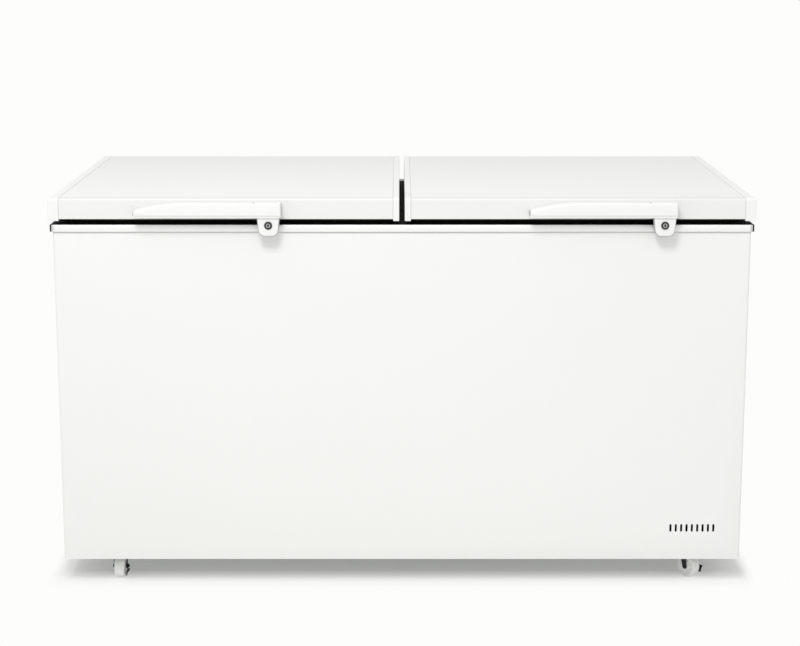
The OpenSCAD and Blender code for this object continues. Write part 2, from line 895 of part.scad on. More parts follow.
module condenser_coil() color(DARK) place() {
    fin_t = 0.6;
    fin_gap = (cond_w - fin_t) / (fin_n - 1);
    tube_n = 4;
    tube_in = 24;
    tube_out = 10;
    riser_z = cond_top - 30;
    block([cond_x - cond_wall, cond_front, pan_z], [cond_x, cond_rear, cond_top]);
    block([cond_x + cond_w, cond_front, pan_z],
        [cond_x + cond_w + cond_wall, cond_rear, cond_top]);
    for (i = [0:fin_n - 1])
        block([cond_x + i * fin_gap, cond_front, cond_z],
            [cond_x + i * fin_gap + fin_t, cond_rear, cond_top]);
    for (k = [0:tube_n - 1])
        rod_x(tube_r, cond_x - tube_out, cond_x + cond_w + tube_out, cond_mid,
            cond_z + tube_in + k * (cond_top - cond_z - 2 * tube_in) / (tube_n - 1));
    for (x = [left_riser, right_riser])
        translate([x, cond_mid, riser_z]) cylinder(r = tube_r, h = cond_top + riser_up - riser_z);
}

module fan_shroud() color(DARK) place() {
    arm = fan_r + 14;
    arm_t = 4;
    bar = 12;
    bar_t = 3;
    mouth_gap = 5;
    motor_end = motor_y + motor_len;
    difference() {
        block([cond_x - cond_wall, cond_rear, pan_z],
            [cond_x + cond_w + cond_wall, shroud_y, cond_top]);
        rod_y(fan_r + mouth_gap, cond_rear - over, shroud_y + over, fan_x, fan_z);
    }
    for (s = [-1, 1])
        block([fan_x + s * arm - arm_t / 2, shroud_y - eps, fan_z - bar],
            [fan_x + s * arm + arm_t / 2, motor_end + bar_t, fan_z + bar]);
    block([fan_x - arm - arm_t / 2, motor_end, fan_z - bar],
        [fan_x + arm + arm_t / 2, motor_end + bar_t, fan_z + bar]);
    rod_y(motor_r, motor_y, motor_end, fan_x, fan_z);
    rod_y(shaft_r, fan_y - fan_gap / 2, motor_y + eps, fan_x, fan_z);
}

module fan_blades() color(SILVER) place() {
    hub_r = 18;
    blade_w = 26;
    blade_t = 1.6;
    pitch = 28;
    translate([fan_x, fan_y + fan_w / 2, fan_z]) rotate([90, 0, 0]) difference() {
        union() {
            cylinder(r = hub_r, h = fan_w - 2, center = true);
            intersection() {
                for (i = [0:blade_n - 1])
                    rotate([0, 0, i * 360 / blade_n]) translate([fan_r / 2, 0, 0])
                        rotate([pitch, 0, 0]) cube([fan_r, blade_w, blade_t], center = true);
                cylinder(r = fan_r, h = fan_w, center = true);
            }
        }
        cylinder(r = shaft_r + fit, h = fan_w + 2 * over, center = true);
    }
}

module refrigerant_lines() color(COPPER) place() {
    tube(smoothed(suction_path, 2), tube_r, 8);
    tube(smoothed(discharge_path, 2), tube_r, 8);
    tube(smoothed(liquid_path, 2), tube_r, 8);
    tube(smoothed(capillary_path, 2), capillary_r, 8);
    rod_y(drier_r, drier_y, drier_y + drier_len, left_riser, line_z);
}

module rear_grille() color(WHITE) place() {
    rows = 12;
    columns = 2;
    louvre_h = 6;
    bridge = 14;
    border = 20;
    field_x0 = gland_x + gland_r + bridge;
    field_x1 = grille_x1 - bridge;
    louvre_w = (field_x1 - field_x0 - bridge * (columns - 1)) / columns;
    row_gap = (grille_z1 - grille_z0 - 2 * border) / (rows - 1);
    difference() {
        block([grille_x0 - grille_lap, half_d, grille_z0 - grille_lap],
            [grille_x1 + grille_lap, half_d + grille_t, grille_z1 + grille_lap]);
        for (c = [0:columns - 1], r = [0:rows - 1])
            block([field_x0 + c * (louvre_w + bridge), half_d - over,
                    grille_z0 + border + r * row_gap - louvre_h / 2],
                [field_x0 + c * (louvre_w + bridge) + louvre_w, half_d + over,
                    grille_z0 + border + r * row_gap + louvre_h / 2]);
        rod_y(gland_r + fit, half_d - over, half_d + over, gland_x, gland_z);
        grille_screw_holes();
    }
}

module cord_gland() color(BLACK) place() {
    difference() {
        union() {
            rod_y(gland_r, half_d - gland_in, half_d + grille_t + eps, gland_x, gland_z);
            rod_y(gland_r + gland_out, half_d + grille_t, gland_end, gland_x, gland_z);
        }
        rod_y(gland_bore, half_d - gland_in - over, gland_end + over, gland_x, gland_z);
    }
}

module thermostat() color(DARK) place() {
    rim = 3;
    rim_out = 1.5;
    case_d = 36;
    case_w = 60;
    case_h = 56;
    difference() {
        union() {
            rod_x(stat_r - fit, in_w - cup_d, half_w, stat_y, stat_z);
            rod_x(stat_r + rim, half_w, half_w + rim_out, stat_y, stat_z);
            block([in_w - cup_d - case_d, stat_y - case_w / 2, stat_z - case_h / 2],
                [in_w - cup_d, stat_y + case_w / 2, stat_z + case_h / 2]);
        }
        rod_x(stat_r - rim, in_w - cup_d + cup_t, half_w + over, stat_y, stat_z);
    }
    rod_x(spindle_r, in_w - cup_d + cup_t / 2, spindle_end, stat_y, stat_z);
}

module thermostat_knob() color(BLACK) place() {
    disc_t = 6;
    bar_w = 8;
    knob_x0 = in_w - cup_d + cup_t + slip;
    knob_x1 = half_w + 1;
    difference() {
        union() {
            rod_x(knob_r, knob_x0, knob_x0 + disc_t, stat_y, stat_z);
            intersection() {
                rod_x(knob_r, knob_x0, knob_x1, stat_y, stat_z);
                block([knob_x0, stat_y - bar_w / 2, stat_z - knob_r],
                    [knob_x1, stat_y + bar_w / 2, stat_z + knob_r]);
            }
        }
        rod_x(spindle_r + fit, knob_x0 - over, spindle_end + slip, stat_y, stat_z);
    }
}

// Drain

module drain_tube() color(CAP_WHITE) place() {
    translate([drain_x, drain_y, 0]) difference() {
        union() {
            translate([0, 0, drain_end]) cylinder(r = drain_r, h = spigot_z - drain_end + eps);
            translate([0, 0, spigot_z]) cylinder(r = drain_tube_r, h = tank_z + tank_t - spigot_z);
            translate([0, 0, tank_z + tank_t]) cylinder(r = drain_lip, h = drain_lip_t);
        }
        translate([0, 0, drain_end - over])
            cylinder(r = drain_r - drain_t, h = tank_z - drain_end + 3 * over);
    }
}

module drain_plug() color(DARK) place() {
    stem = 16;
    head = 4;
    grip_r = 4;
    grip_h = 10;
    translate([drain_x, drain_y, tank_z + tank_t + drain_lip_t]) {
        translate([0, 0, -stem]) cylinder(r = drain_r - drain_t - fit, h = stem + seat + eps);
        translate([0, 0, seat]) cylinder(r = drain_lip - 3, h = head);
        translate([0, 0, seat + head - eps]) cylinder(r = grip_r, h = grip_h + eps);
    }
}

// Hinges on the back of the casing

module hinge_channel() {
    difference() {
        union() {
            for (s = [0, 1]) mirror([s, 0, 0]) {
                along_x(cheek, cheek + channel_t) {
                    translate([half_d, channel_z]) square([channel_d, channel_h]);
                    translate([axis_y - ear_r, channel_z])
                        square([2 * ear_r, axis_z - channel_z]);
                    translate([axis_y, axis_z]) circle(ear_r);
                }
                block([cheek, half_d, channel_z],
                    [cheek + channel_t + flange_w, half_d + channel_t, channel_top]);
            }
            block([-cheek - eps, channel_back - channel_t, channel_z],
                [cheek + eps, channel_back, channel_top + channel_rise]);
            block([-cheek - eps, half_d, channel_z],
                [cheek + eps, channel_back, channel_z + channel_t]);
        }
        rod_x(pin_r + fit, -cheek - channel_t - over, cheek + channel_t + over, axis_y, axis_z);
    }
    // pin with a head at each end
    head_t = 2.5;
    rod_x(pin_r, -cheek - channel_t - head_t / 2, cheek + channel_t + head_t / 2, axis_y, axis_z);
    for (s = [0, 1]) mirror([s, 0, 0])
        rod_x(pin_r + 2, cheek + channel_t + fit, cheek + channel_t + head_t, axis_y, axis_z);
}

module hinge_channels() color(ZINC) place() {
    difference() {
        for (x = HINGE_X) translate([x, 0, 0]) hinge_channel();
        hinge_flange_holes();
    }
}

module hinge_springs() color(ZINC) place() {
    for (x = HINGE_X) translate([x, axis_y, 0]) {
        translate([0, 0, channel_z + channel_t]) difference() {
            cylinder(r = spring_r, h = collar_z - channel_z - channel_t);
            translate([0, 0, -over]) cylinder(r = spring_bore, h = channel_h + 2 * over);
        }
        translate([0, 0, collar_z]) cylinder(r = spring_r, h = collar_t);
        translate([0, 0, channel_z + plunger_up])
            cylinder(r = plunger_r, h = axis_z - knuckle_r - seat - channel_z - plunger_up);
    }
}

// Lids. Every lid piece is drawn for the right side and mirrored for the left.

// Cross-section of a lid in Y and Z, drawn in by t, with round upper edges
module lid_section(t, z0) {
    r = lid_edge_r - t;
    y0 = lid_front + t;
    y1 = lid_rear - t;
    z1 = lid_top - t;
    translate([y0, z0]) square([y1 - y0, z1 - r - z0]);
    translate([y0 + r, z0]) square([y1 - y0 - 2 * r, z1 - z0]);
    for (y = [y0 + r, y1 - r])
        translate([y, z1 - r]) circle(r);
}

skin_x0 = lid_in + cap_in_w;
skin_x1 = lid_out - cap_w;

module lid_skin() color(WHITE) {
    fold = 10;
    along_x(skin_x0, skin_x1) difference() {
        lid_section(0, lid_z);
        lid_section(lid_t, lid_z + lid_t);
        translate([lid_front + fold, lid_z - over])
            square([lid_rear - lid_front - 2 * fold, over + lid_t + eps]);
    }
}

module lid_liner() color(CAP_WHITE) {
    fold = 10;
    difference() {
        union() {
            block([skin_x0, lid_front + fold, lid_z], [skin_x1, lid_rear - fold, lid_z + liner_t]);
            block([plug_in, -plug_d, lid_z - plug_h], [plug_out, plug_d, lid_z + liner_t]);
        }
        block([plug_in + liner_t, -plug_d + liner_t, lid_z - plug_h + liner_t],
            [plug_out - liner_t, plug_d - liner_t, lid_z + liner_t + over]);
    }
}

module lid_foam() color(FOAM) {
    union() {
        along_x(skin_x0, skin_x1) lid_section(lid_t, lid_z + liner_t);
        block([plug_in + liner_t, -plug_d + liner_t, lid_z - plug_h + liner_t],
            [plug_out - liner_t, plug_d - liner_t, lid_z + liner_t + eps]);
    }
}

module end_cap(x0, x1, edge, open_side) {
    intersection() {
        difference() {
            along_x(x0, x1) lid_section(-cap_proud, lid_z - cap_drop);
            translate([open_side * cap_t, 0, 0]) along_x(x0, x1)
                lid_section(cap_t - cap_proud, lid_z - cap_drop + cap_t);
        }
        along_y(lid_front - over, lid_rear + over) {
            translate([x0, lid_z - cap_drop])
                square([x1 - x0, lid_h + cap_drop + cap_proud - edge]);
            translate([x0, lid_z - cap_drop])
                square([x1 - x0 - edge, lid_h + cap_drop + cap_proud]);
            translate([x1 - edge, lid_top + cap_proud - edge]) circle(edge);
        }
    }
}

module lid_end_caps() color(CAP_WHITE) {
    seal_x0 = mullion_w / 2 - seal_in - seal_w;
    seal_y = mouth_d + seal_in + seal_w;
    end_cap(skin_x1, lid_out, cap_edge_r, -1);
    difference() {
        mirror([1, 0, 0]) end_cap(-skin_x0, -lid_in, 2, -1);
        block([seal_x0 - seat, -seal_y - seat, rim_z], [skin_x0 + over, seal_y + seat, lid_z]);
    }
}

module gasket() color(BLACK) {
    x0 = mullion_w / 2 - seal_in;
    x1 = mouth_w + seal_in;
    y1 = mouth_d + seal_in;
    difference() {
        block([x0 - seal_w, -y1 - seal_w, rim_z], [x1 + seal_w, y1 + seal_w, lid_z]);
        block([x0, -y1, rim_z - over], [x1, y1, lid_z + over]);
    }
}

module hinge_leaves() color(ZINC) {
    leaf_t = 2.5;
    leaf_w = 40;
    leaf_up = 2;
    leaf_in = 6;
    arm_low = 3;
    arm_up = 5;
    for (s = [-1, 1]) translate([lid_mid + s * hinge_spread, 0, 0]) difference() {
        union() {
            block([-leaf_w / 2, lid_rear, axis_z + leaf_up],
                [leaf_w / 2, lid_rear + leaf_t, lid_top - leaf_in]);
            block([-knuckle_w / 2, lid_rear, axis_z - arm_low],
                [knuckle_w / 2, axis_y, axis_z + arm_up]);
            rod_x(knuckle_r, -knuckle_w / 2, knuckle_w / 2, axis_y, axis_z);
        }
        rod_x(pin_r + fit, -leaf_w, leaf_w, axis_y, axis_z);
    }
}

module lid_skin_left() place() mirror([1, 0, 0]) lid_skin();
module lid_foam_left() place() mirror([1, 0, 0]) lid_foam();
module lid_liner_left() place() mirror([1, 0, 0]) lid_liner();
module lid_end_caps_left() place() mirror([1, 0, 0]) lid_end_caps();
module gasket_left() place() mirror([1, 0, 0]) gasket();
module hinge_leaves_left() place() mirror([1, 0, 0]) hinge_leaves();
module lid_skin_right() place() lid_skin();
module lid_foam_right() place() lid_foam();
module lid_liner_right() place() lid_liner();
module lid_end_caps_right() place() lid_end_caps();
module gasket_right() place() gasket();
module hinge_leaves_right() place() hinge_leaves();

// Handles and locks, drawn with the lock axis at X = 0

handle_x1 = lock_inset;
handle_x0 = handle_x1 - handle_len;

// Front outline of a handle, drawn in by t, with its lower edge at z0
module handle_outline(t, z0) {
    rise = handle_h - handle_tip_h;
    rise_r = (handle_rise * handle_rise + rise * rise) / (2 * rise);
    top = handle_z + handle_h;
    intersection() {
        translate([handle_x0 + t, z0]) square([handle_rise - t + eps, top - t - z0]);
        translate([handle_x0 + handle_rise, top - rise_r]) circle(rise_r - t);
    }
    translate([handle_x0 + handle_rise, z0])
        square([handle_len - handle_rise - t, top - t - z0]);
}

// Front outline of the lock tab, drawn in by t
module tab_outline(t) {
    foot = handle_z - tab_h + t;
    w0 = tab_foot_w / 2 - t;
    w1 = tab_w / 2 - t;
    r = tab_r - t;
    polygon([[-w0 + r, foot], [w0 - r, foot], [w0, foot + r], [w1, handle_z],
        [w1, handle_z + tab_root], [-w1, handle_z + tab_root], [-w1, handle_z], [-w0, foot + r]]);
    for (s = [-1, 1]) translate([s * (w0 - r), foot + r]) circle(r);
}

module handle_body() color(CAP_WHITE) {
    chamfer = 4.4;
    difference() {
        union() {
            difference() {
                along_y(face_y, lid_front) handle_outline(0, handle_z);
                along_y(face_y + handle_t, cavity_back)
                    handle_outline(handle_top_t, handle_z - over);
            }
            difference() {
                along_y(tab_y, tab_rear) tab_outline(0);
                along_y(tab_y + tab_t, tab_rear + over) tab_outline(tab_t);
                block([-tab_w, tab_y + tab_t, handle_z - eps],
                    [tab_w, tab_rear + over, handle_z + cavity_out]);
            }
        }
        rod_y(barrel_r + fit, tab_y - over, tab_y + tab_t + over, 0, lock_z);
        translate([-hole_off, hole_y, handle_z + handle_h - handle_top_t - over])
            cylinder(r = hole_r, h = handle_top_t + 2 * over);
        along_y(face_y - over, tab_y)
            polygon([[handle_x1 + eps, handle_z - eps], [handle_x1 + eps, handle_z + chamfer],
                [handle_x1 - chamfer, handle_z - eps]]);
    }
}

module handle_left() place() translate([lock_left, 0, 0]) handle_body();
module handle_right() place() translate([lock_right, 0, 0]) handle_body();

module lock_bezel() color(DARK) {
    difference() {
        union() {
            rod_y(bezel_r, tab_y - bezel_out, tab_y, 0, lock_z);
            rod_y(barrel_r, tab_y - eps, tab_rear + slip, 0, lock_z);
        }
        rod_y(core_r + fit, tab_y - over, tab_rear + over, 0, lock_z);
    }
}

module lock_bezel_left() place() translate([lock_left, 0, 0]) lock_bezel();
module lock_bezel_right() place() translate([lock_right, 0, 0]) lock_bezel();

module lock_core() color(ZINC) {
    keyway_w = 1.6;
    keyway_h = 6;
    keyway_d = 8;
    difference() {
        rod_y(core_r, tab_y - core_out, cam_y + eps, 0, lock_z);
        block([-keyway_w / 2, tab_y - over, lock_z - keyway_h / 2],
            [keyway_w / 2, tab_y - core_out + keyway_d, lock_z + keyway_h / 2]);
    }
    along_y(cam_y, cam_y + cam_t) {
        translate([0, lock_z]) circle(cam_w / 2);
        translate([-cam_w / 2, lock_z - cam_len]) square([cam_w, cam_len]);
    }
}

module lock_core_left() place() translate([lock_left, 0, 0]) lock_core();
module lock_core_right() place() translate([lock_right, 0, 0]) lock_core();

module lock_strikes() color(ZINC) place() {
    lip = 7;
    difference() {
        for (x = [lock_left, lock_right]) translate([x - strike_off - strike_w, 0, 0]) {
            block([0, -rail_d - strike_t, casing_z + rail_t], [strike_w, -rail_d, strike_z + strike_t]);
            block([0, -rail_d - strike_t - lip, strike_z], [strike_w, -rail_d, strike_z + strike_t]);
        }
        strike_screws(hole_screw_r, -rail_d - over, -rail_d + over);
    }
}

// Casters

module at_caster(sx, sy, turn) {
    translate([sx * caster_x, sy * caster_y, 0]) rotate([0, 0, turn]) children();
}

module caster_plates() color(ZINC) place() {
    for (sx = [-1, 1], sy = [-1, 1]) at_caster(sx, sy, 0) difference() {
        union() {
            slab(plate_w / 2, plate_w / 2, plate_z, base_z);
            translate([0, 0, crown_z - slip])
                cylinder(r = kingpin_r, h = plate_z - crown_z + slip + eps);
            translate([0, 0, crown_z - slip - crown_t]) cylinder(r = head_r, h = crown_t + eps);
        }
        for (bx = [-1, 1], by = [-1, 1])
            translate([bx * plate_pitch / 2, by * plate_pitch / 2, plate_z - over])
                cylinder(r = bolt_r + 0.2, h = plate_t + 2 * over);
    }
}

module caster_fork(braked) color(DARK) {
    boss_r = 7;
    leg_front = 12;
    leg_rear = 16;
    axle_end = braked ? brake_x + brake_t + brake_gap : leg_out;
    difference() {
        union() {
            translate([0, 0, crown_z]) cylinder(r = crown_r, h = crown_t);
            for (s = [0, 1]) mirror([s, 0, 0]) along_x(leg_in, leg_out) {
                polygon([[leg_front, fork_top - eps], [-leg_rear, fork_top - eps],
                    [-trail - boss_r, axle_z], [-trail + boss_r, axle_z]]);
                translate([-trail, axle_z]) circle(boss_r);
            }
        }
        translate([0, 0, crown_z - over]) cylinder(r = kingpin_r + fit, h = crown_t + 2 * over);
    }
    rod_x(axle_r, -leg_out - eps, axle_end + eps, -trail, axle_z);
    rod_x(axle_r + 2, -leg_out - axle_head, -leg_out, -trail, axle_z);
    rod_x(axle_r + 2, axle_end, axle_end + axle_head, -trail, axle_z);
}

module caster_wheel() color(CAP_WHITE) {
    edge = 5;
    hub_r = 9;
    dish_r = 17;
    dish_d = 2.5;
    r = wheel_d / 2;
    w = wheel_w / 2;
    translate([0, -trail, axle_z]) rotate([0, 90, 0]) rotate_extrude() difference() {
        union() {
            translate([axle_r + fit, -w]) square([r - edge - axle_r - fit, wheel_w]);
            translate([axle_r + fit, -w + edge]) square([r - axle_r - fit, wheel_w - 2 * edge]);
            for (s = [-1, 1]) translate([r - edge, s * (w - edge)]) circle(edge);
        }
        for (z = [-w - eps, w - dish_d]) translate([hub_r, z]) square([dish_r - hub_r, dish_d + eps]);
    }
}

module caster_brake() color(DARK) {
    boss_r = 6.5;
    arm_len = 24;
    arm_low = 16;
    arm_top = 7;
    pedal_w = 10;
    pedal_x = brake_x + brake_t + 14;
    translate([0, -trail, axle_z]) difference() {
        union() {
            along_x(brake_x, brake_x + brake_t) {
                circle(boss_r);
                polygon([[boss_r / 2, -boss_r], [-arm_low, -arm_low], [-arm_len, -arm_low + brake_t],
                    [-arm_len, -arm_top], [0, boss_r]]);
            }
            block([brake_x, -arm_len, -arm_top - brake_t], [pedal_x, -arm_len + pedal_w, -arm_top]);
            block([pedal_x - brake_t, -arm_len, -arm_low], [pedal_x, -arm_len + pedal_w, -arm_top]);
        }
        rod_x(axle_r + fit, brake_x - over, brake_x + brake_t + brake_gap / 2, 0, 0);
    }
}

module caster_fork_front_left() place() at_caster(-1, -1, 0) caster_fork(true);
module caster_fork_front_right() place() at_caster(1, -1, caster_turn) caster_fork(true);
module caster_fork_rear_left() place() at_caster(-1, 1, 0) caster_fork(false);
module caster_fork_rear_right() place() at_caster(1, 1, 0) caster_fork(false);
module caster_wheel_front_left() place() at_caster(-1, -1, 0) caster_wheel();
module caster_wheel_front_right() place() at_caster(1, -1, caster_turn) caster_wheel();
module caster_wheel_rear_left() place() at_caster(-1, 1, 0) caster_wheel();
module caster_wheel_rear_right() place() at_caster(1, 1, 0) caster_wheel();
module caster_brake_left() place() at_caster(-1, -1, 0) caster_brake();
module caster_brake_right() place() at_caster(1, -1, caster_turn) caster_brake();

// Bolts of the casters and screws of the hinges, the grille and the strikes

module screw_y(y, shank) {
    rod_y(screw_r, y - shank, y + eps, 0, 0);
    rod_y(screw_head_r, y, y + screw_head_t, 0, 0);
}

module fasteners() color(ZINC) place() {
    caster_bolt_points() {
        translate([0, 0, plate_z - bolt_head_t])
            cylinder(r = bolt_head_r, h = bolt_head_t, $fn = 6);
        translate([0, 0, plate_z - eps]) cylinder(r = bolt_r, h = pan_z - plate_z + eps);
    }
    hinge_screw_points() screw_y(half_d + channel_t, channel_t + sheet_t);
    grille_screw_points() screw_y(half_d + grille_t, grille_t + sheet_t);
    strike_screws(screw_r, -rail_d - strike_t - eps, -rail_d + rail_t);
    strike_screws(strike_head_r, -rail_d - strike_t - strike_head_t, -rail_d - strike_t);
}

// Baskets

// Evenly spaced places for wires of thickness wire_t between a and b
function wire_places(a, b) =
    let (n = ceil((b - a - wire_t) / wire_gap))
    [for (i = [0:n]) a + (b - a - wire_t) * i / n];

module basket() color(CAP_WHITE) {
    bw = basket_w / 2;
    bd = basket_d;
    z0 = basket_z - basket_h + hook_t;
    z1 = z0 + wire_t;
    z2 = basket_z;
    levels = [z1, (z1 + z2 - wire_t) / 2, z2 - wire_t];
    // floor of the basket
    union() {
        for (x = wire_places(-bw, bw)) block([x, -bd, z0], [x + wire_t, bd, z1]);
        for (y = wire_places(-bd, bd)) block([-bw, y, z0], [bw, y + wire_t, z1]);
    }
    // front and back
    for (s = [0, 1]) mirror([0, s, 0]) {
        union() {
            for (x = wire_places(-bw, bw)) block([x, -bd, z1], [x + wire_t, -bd + wire_t, z2]);
            for (z = levels) block([-bw, -bd, z], [bw, -bd + wire_t, z + wire_t]);
        }
        // hook that rests on the ledge
        difference() {
            block([-bw, -basket_hook, z2], [bw, -bd + wire_t, z2 + hook_t]);
            block([-bw + hook_t, -basket_hook + hook_t, z2 - over],
                [bw - hook_t, -bd - eps, z2 + hook_t + over]);
        }
    }
    // ends
    for (s = [0, 1]) mirror([s, 0, 0]) union() {
        for (y = wire_places(-bd + wire_t, bd - wire_t))
            block([-bw, y, z1], [-bw + wire_t, y + wire_t, z2]);
        for (z = levels) block([-bw, -bd + wire_t, z], [-bw + wire_t, bd - wire_t, z + wire_t]);
    }
}

module basket_left() place() translate([-half_mid - basket_off, 0, 0]) basket();
module basket_right() place() translate([half_mid + basket_off, 0, 0]) basket();

front_panel();
side_panel_left();
side_panel_right();
back_panel();
base_plate();
insulation();
inner_tank();
top_rail_front();
top_rail_rear();
top_rails_side();
rim_collar();
centre_mullion();
evaporator_coil();
compressor();
compressor_feet();
condenser_coil();
fan_shroud();
refrigerant_lines();
rear_grille();
thermostat();
cord_gland();
drain_tube();
hinge_channels();
hinge_springs();
caster_plates();
fasteners();
lock_strikes();
lid_skin_left();
lid_foam_left();
lid_liner_left();
lid_end_caps_left();
gasket_left();
handle_left();
lock_bezel_left();
hinge_leaves_left();
lid_skin_right();
lid_foam_right();
lid_liner_right();
lid_end_caps_right();
gasket_right();
handle_right();
lock_bezel_right();
hinge_leaves_right();
caster_fork_front_left();
caster_fork_front_right();
caster_fork_rear_left();
caster_fork_rear_right();
caster_wheel_front_left();
caster_wheel_front_right();
caster_wheel_rear_left();
caster_wheel_rear_right();
caster_brake_left();
caster_brake_right();
lock_core_left();
lock_core_right();
fan_blades();
thermostat_knob();
basket_left();
basket_right();
drain_plug();
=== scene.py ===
import json
import math

import bmesh
import bpy
from bpy.props import FloatProperty, FloatVectorProperty, IntProperty, PointerProperty
from mathutils import Matrix, Vector


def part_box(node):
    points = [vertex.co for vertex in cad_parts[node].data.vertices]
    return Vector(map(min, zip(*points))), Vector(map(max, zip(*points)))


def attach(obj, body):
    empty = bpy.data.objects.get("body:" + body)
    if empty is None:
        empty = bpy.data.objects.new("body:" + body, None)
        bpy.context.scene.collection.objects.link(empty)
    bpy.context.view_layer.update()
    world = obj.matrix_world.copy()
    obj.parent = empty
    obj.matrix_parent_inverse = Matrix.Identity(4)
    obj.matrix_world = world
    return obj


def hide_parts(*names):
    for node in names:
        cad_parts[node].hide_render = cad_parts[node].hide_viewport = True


bl_info = {
    "name": "Chest Freezer",
    "version": (1, 0, 0),
    "blender": (4, 5, 0),
    "location": "3D View > Sidebar > Freezer",
    "description": "Finishes a chest freezer with two hinged lids round its mechanical frame",
    "category": "Object",
}

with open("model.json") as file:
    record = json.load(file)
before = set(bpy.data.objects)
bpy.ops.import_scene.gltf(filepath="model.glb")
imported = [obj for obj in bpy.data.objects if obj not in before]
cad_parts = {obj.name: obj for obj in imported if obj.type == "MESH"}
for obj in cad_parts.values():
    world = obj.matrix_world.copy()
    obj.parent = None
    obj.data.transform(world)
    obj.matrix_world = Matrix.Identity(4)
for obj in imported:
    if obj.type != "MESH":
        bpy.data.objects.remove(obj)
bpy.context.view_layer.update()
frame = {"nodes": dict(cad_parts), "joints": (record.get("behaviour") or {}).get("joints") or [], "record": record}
SLOT_OF = {part["node"]: part["material_slot"] for part in frame["record"]["subparts"]}

# The pieces are modelled in millimetres. MM turns them into Blender's metres.
MM = 0.001
# Points nearer than this are one
WELD = 0.01
AXES = {"X": (1, 0, 0), "Y": (0, 1, 0), "Z": (0, 0, 1)}
SIDES = ("left", "right")
# Underside of the handles' grips
GRIP_BASE = 839
# From a handle's right end to its lock, and from there to its screw hole
LOCK_INSET = 28
SCREW_OFF = 31
# From the face of a handle back to its screw hole
SCREW_BEHIND = 10.25
LOCK_HEIGHT = 822
# The lock tabs' face and back along Y
TAB_FACE = -373.5
TAB_BACK = -357.5
# Their lower corners: height of the centres, half the distance between these, and their radius
TAB_BEND_HEIGHT = 813
TAB_FLAT = 7
TAB_BEND = 15
# Kingpin of the front left caster, and the place of its axle behind it and above the floor
KINGPIN = (-637, -267.5, 0)
TRAIL = 18
AXLE_HEIGHT = 25
# How far the casters stand from the front left one along X and Y, and by how many degrees each is
# turned. The front ones go by their side alone too, for the brakes.
CASTERS = {
    "front_left": (0, 0, 0), "front_right": (1274, 0, 45), "rear_left": (0, 540, 0), "rear_right": (1274, 540, 0),
    "left": (0, 0, 0), "right": (1274, 0, 45),
}


# Sizes and colours


def length(name, description, default):
    return FloatProperty(name=name, description=description, default=default, min=0, unit="LENGTH")


def colour(name, description, default):
    return FloatVectorProperty(
        name=name, description=description, default=default, size=4, min=0, max=1, subtype="COLOR"
    )


class FreezerColours(bpy.types.PropertyGroup):
    """Colours of the finishes."""

    enamel: colour("Enamel", "Painted sheet of the casing and the lids", (0.88, 0.885, 0.865, 1))
    plastic: colour("White plastic", "Handles and end caps", (0.88, 0.88, 0.868, 1))
    trim: colour("Trim", "Rail round the top of the casing", (0.94, 0.945, 0.94, 1))
    black: colour("Black plastic", "Rim, lock rings and knob", (0.012, 0.012, 0.013, 1))
    rubber: colour("Rubber", "Lid seals, plug and feet", (0.018, 0.018, 0.019, 1))
    zinc: colour("Zinc", "Plated hinges, plates and screws", (0.62, 0.63, 0.64, 1))
    # near black, partly as painted shade on the forks
    dark: colour("Dark metal", "Caster forks and brakes", (0.016, 0.016, 0.018, 1))
    tank: colour("Tank", "Embossed aluminium lining", (0.83, 0.84, 0.85, 1))
    copper: colour("Copper", "Refrigerant tubes", (0.80, 0.42, 0.26, 1))
    foam: colour("Foam", "Insulating foam", (0.80, 0.66, 0.36, 1))
    nylon: colour("Nylon", "Wheels of the casters", (0.92, 0.925, 0.905, 1))
    lock: colour("Lock core", "Face of the key cylinder", (0.3, 0.3, 0.31, 1))
    wire: colour("Wire coat", "Coated wire of the baskets", (0.86, 0.87, 0.87, 1))


class FreezerSizes(bpy.types.PropertyGroup):
    """Sizes of what the frame leaves to the finish."""

    corner: length("Corner", "Outer radius of the casing's upright front corners", 0.006)
    seam: length("Seam", "Rounding of the edges where two mouldings meet", 0.0018)
    lid_groove: length("Lid groove", "Depth of the groove along the front of a lid's top", 0.0007)
    reveal: length("Reveal", "Depth of the shadow groove where a handle meets its lid", 0.0018)
    crease: length("Crease", "Depth of the line low on a handle's front", 0.0009)
    fold: length("Fold", "Outer radius of folded sheet", 0.0018)
    handle_round: length("Handle edge", "Rounding of the upper front edge of a handle", 0.0052)
    groove: length("Rail groove", "Depth of the groove low on the rail", 0.0003)
    lip: length("Seal fold", "Depth of the folds in the lid seals", 0.004)
    wire: length("Wire", "Thickness of the basket wire", 0.004)
    hook_wire: length("Hook wire", "Thickness of the wire that a basket hangs by", 0.005)
    basket_bend: length("Basket bend", "Radius that the basket wires are bent to", 0.012)
    spring_wire: length("Spring wire", "Thickness of the hinge spring wire", 0.0022)
    spring_turns: IntProperty(name="Spring turns", description="Turns of a hinge spring", default=19, min=3)
    louvre: length("Louvre", "How far the louvres stand out of the rear grille", 0.0045)
    tread: length("Tread", "Crown of the wheels' tread", 0.0012)


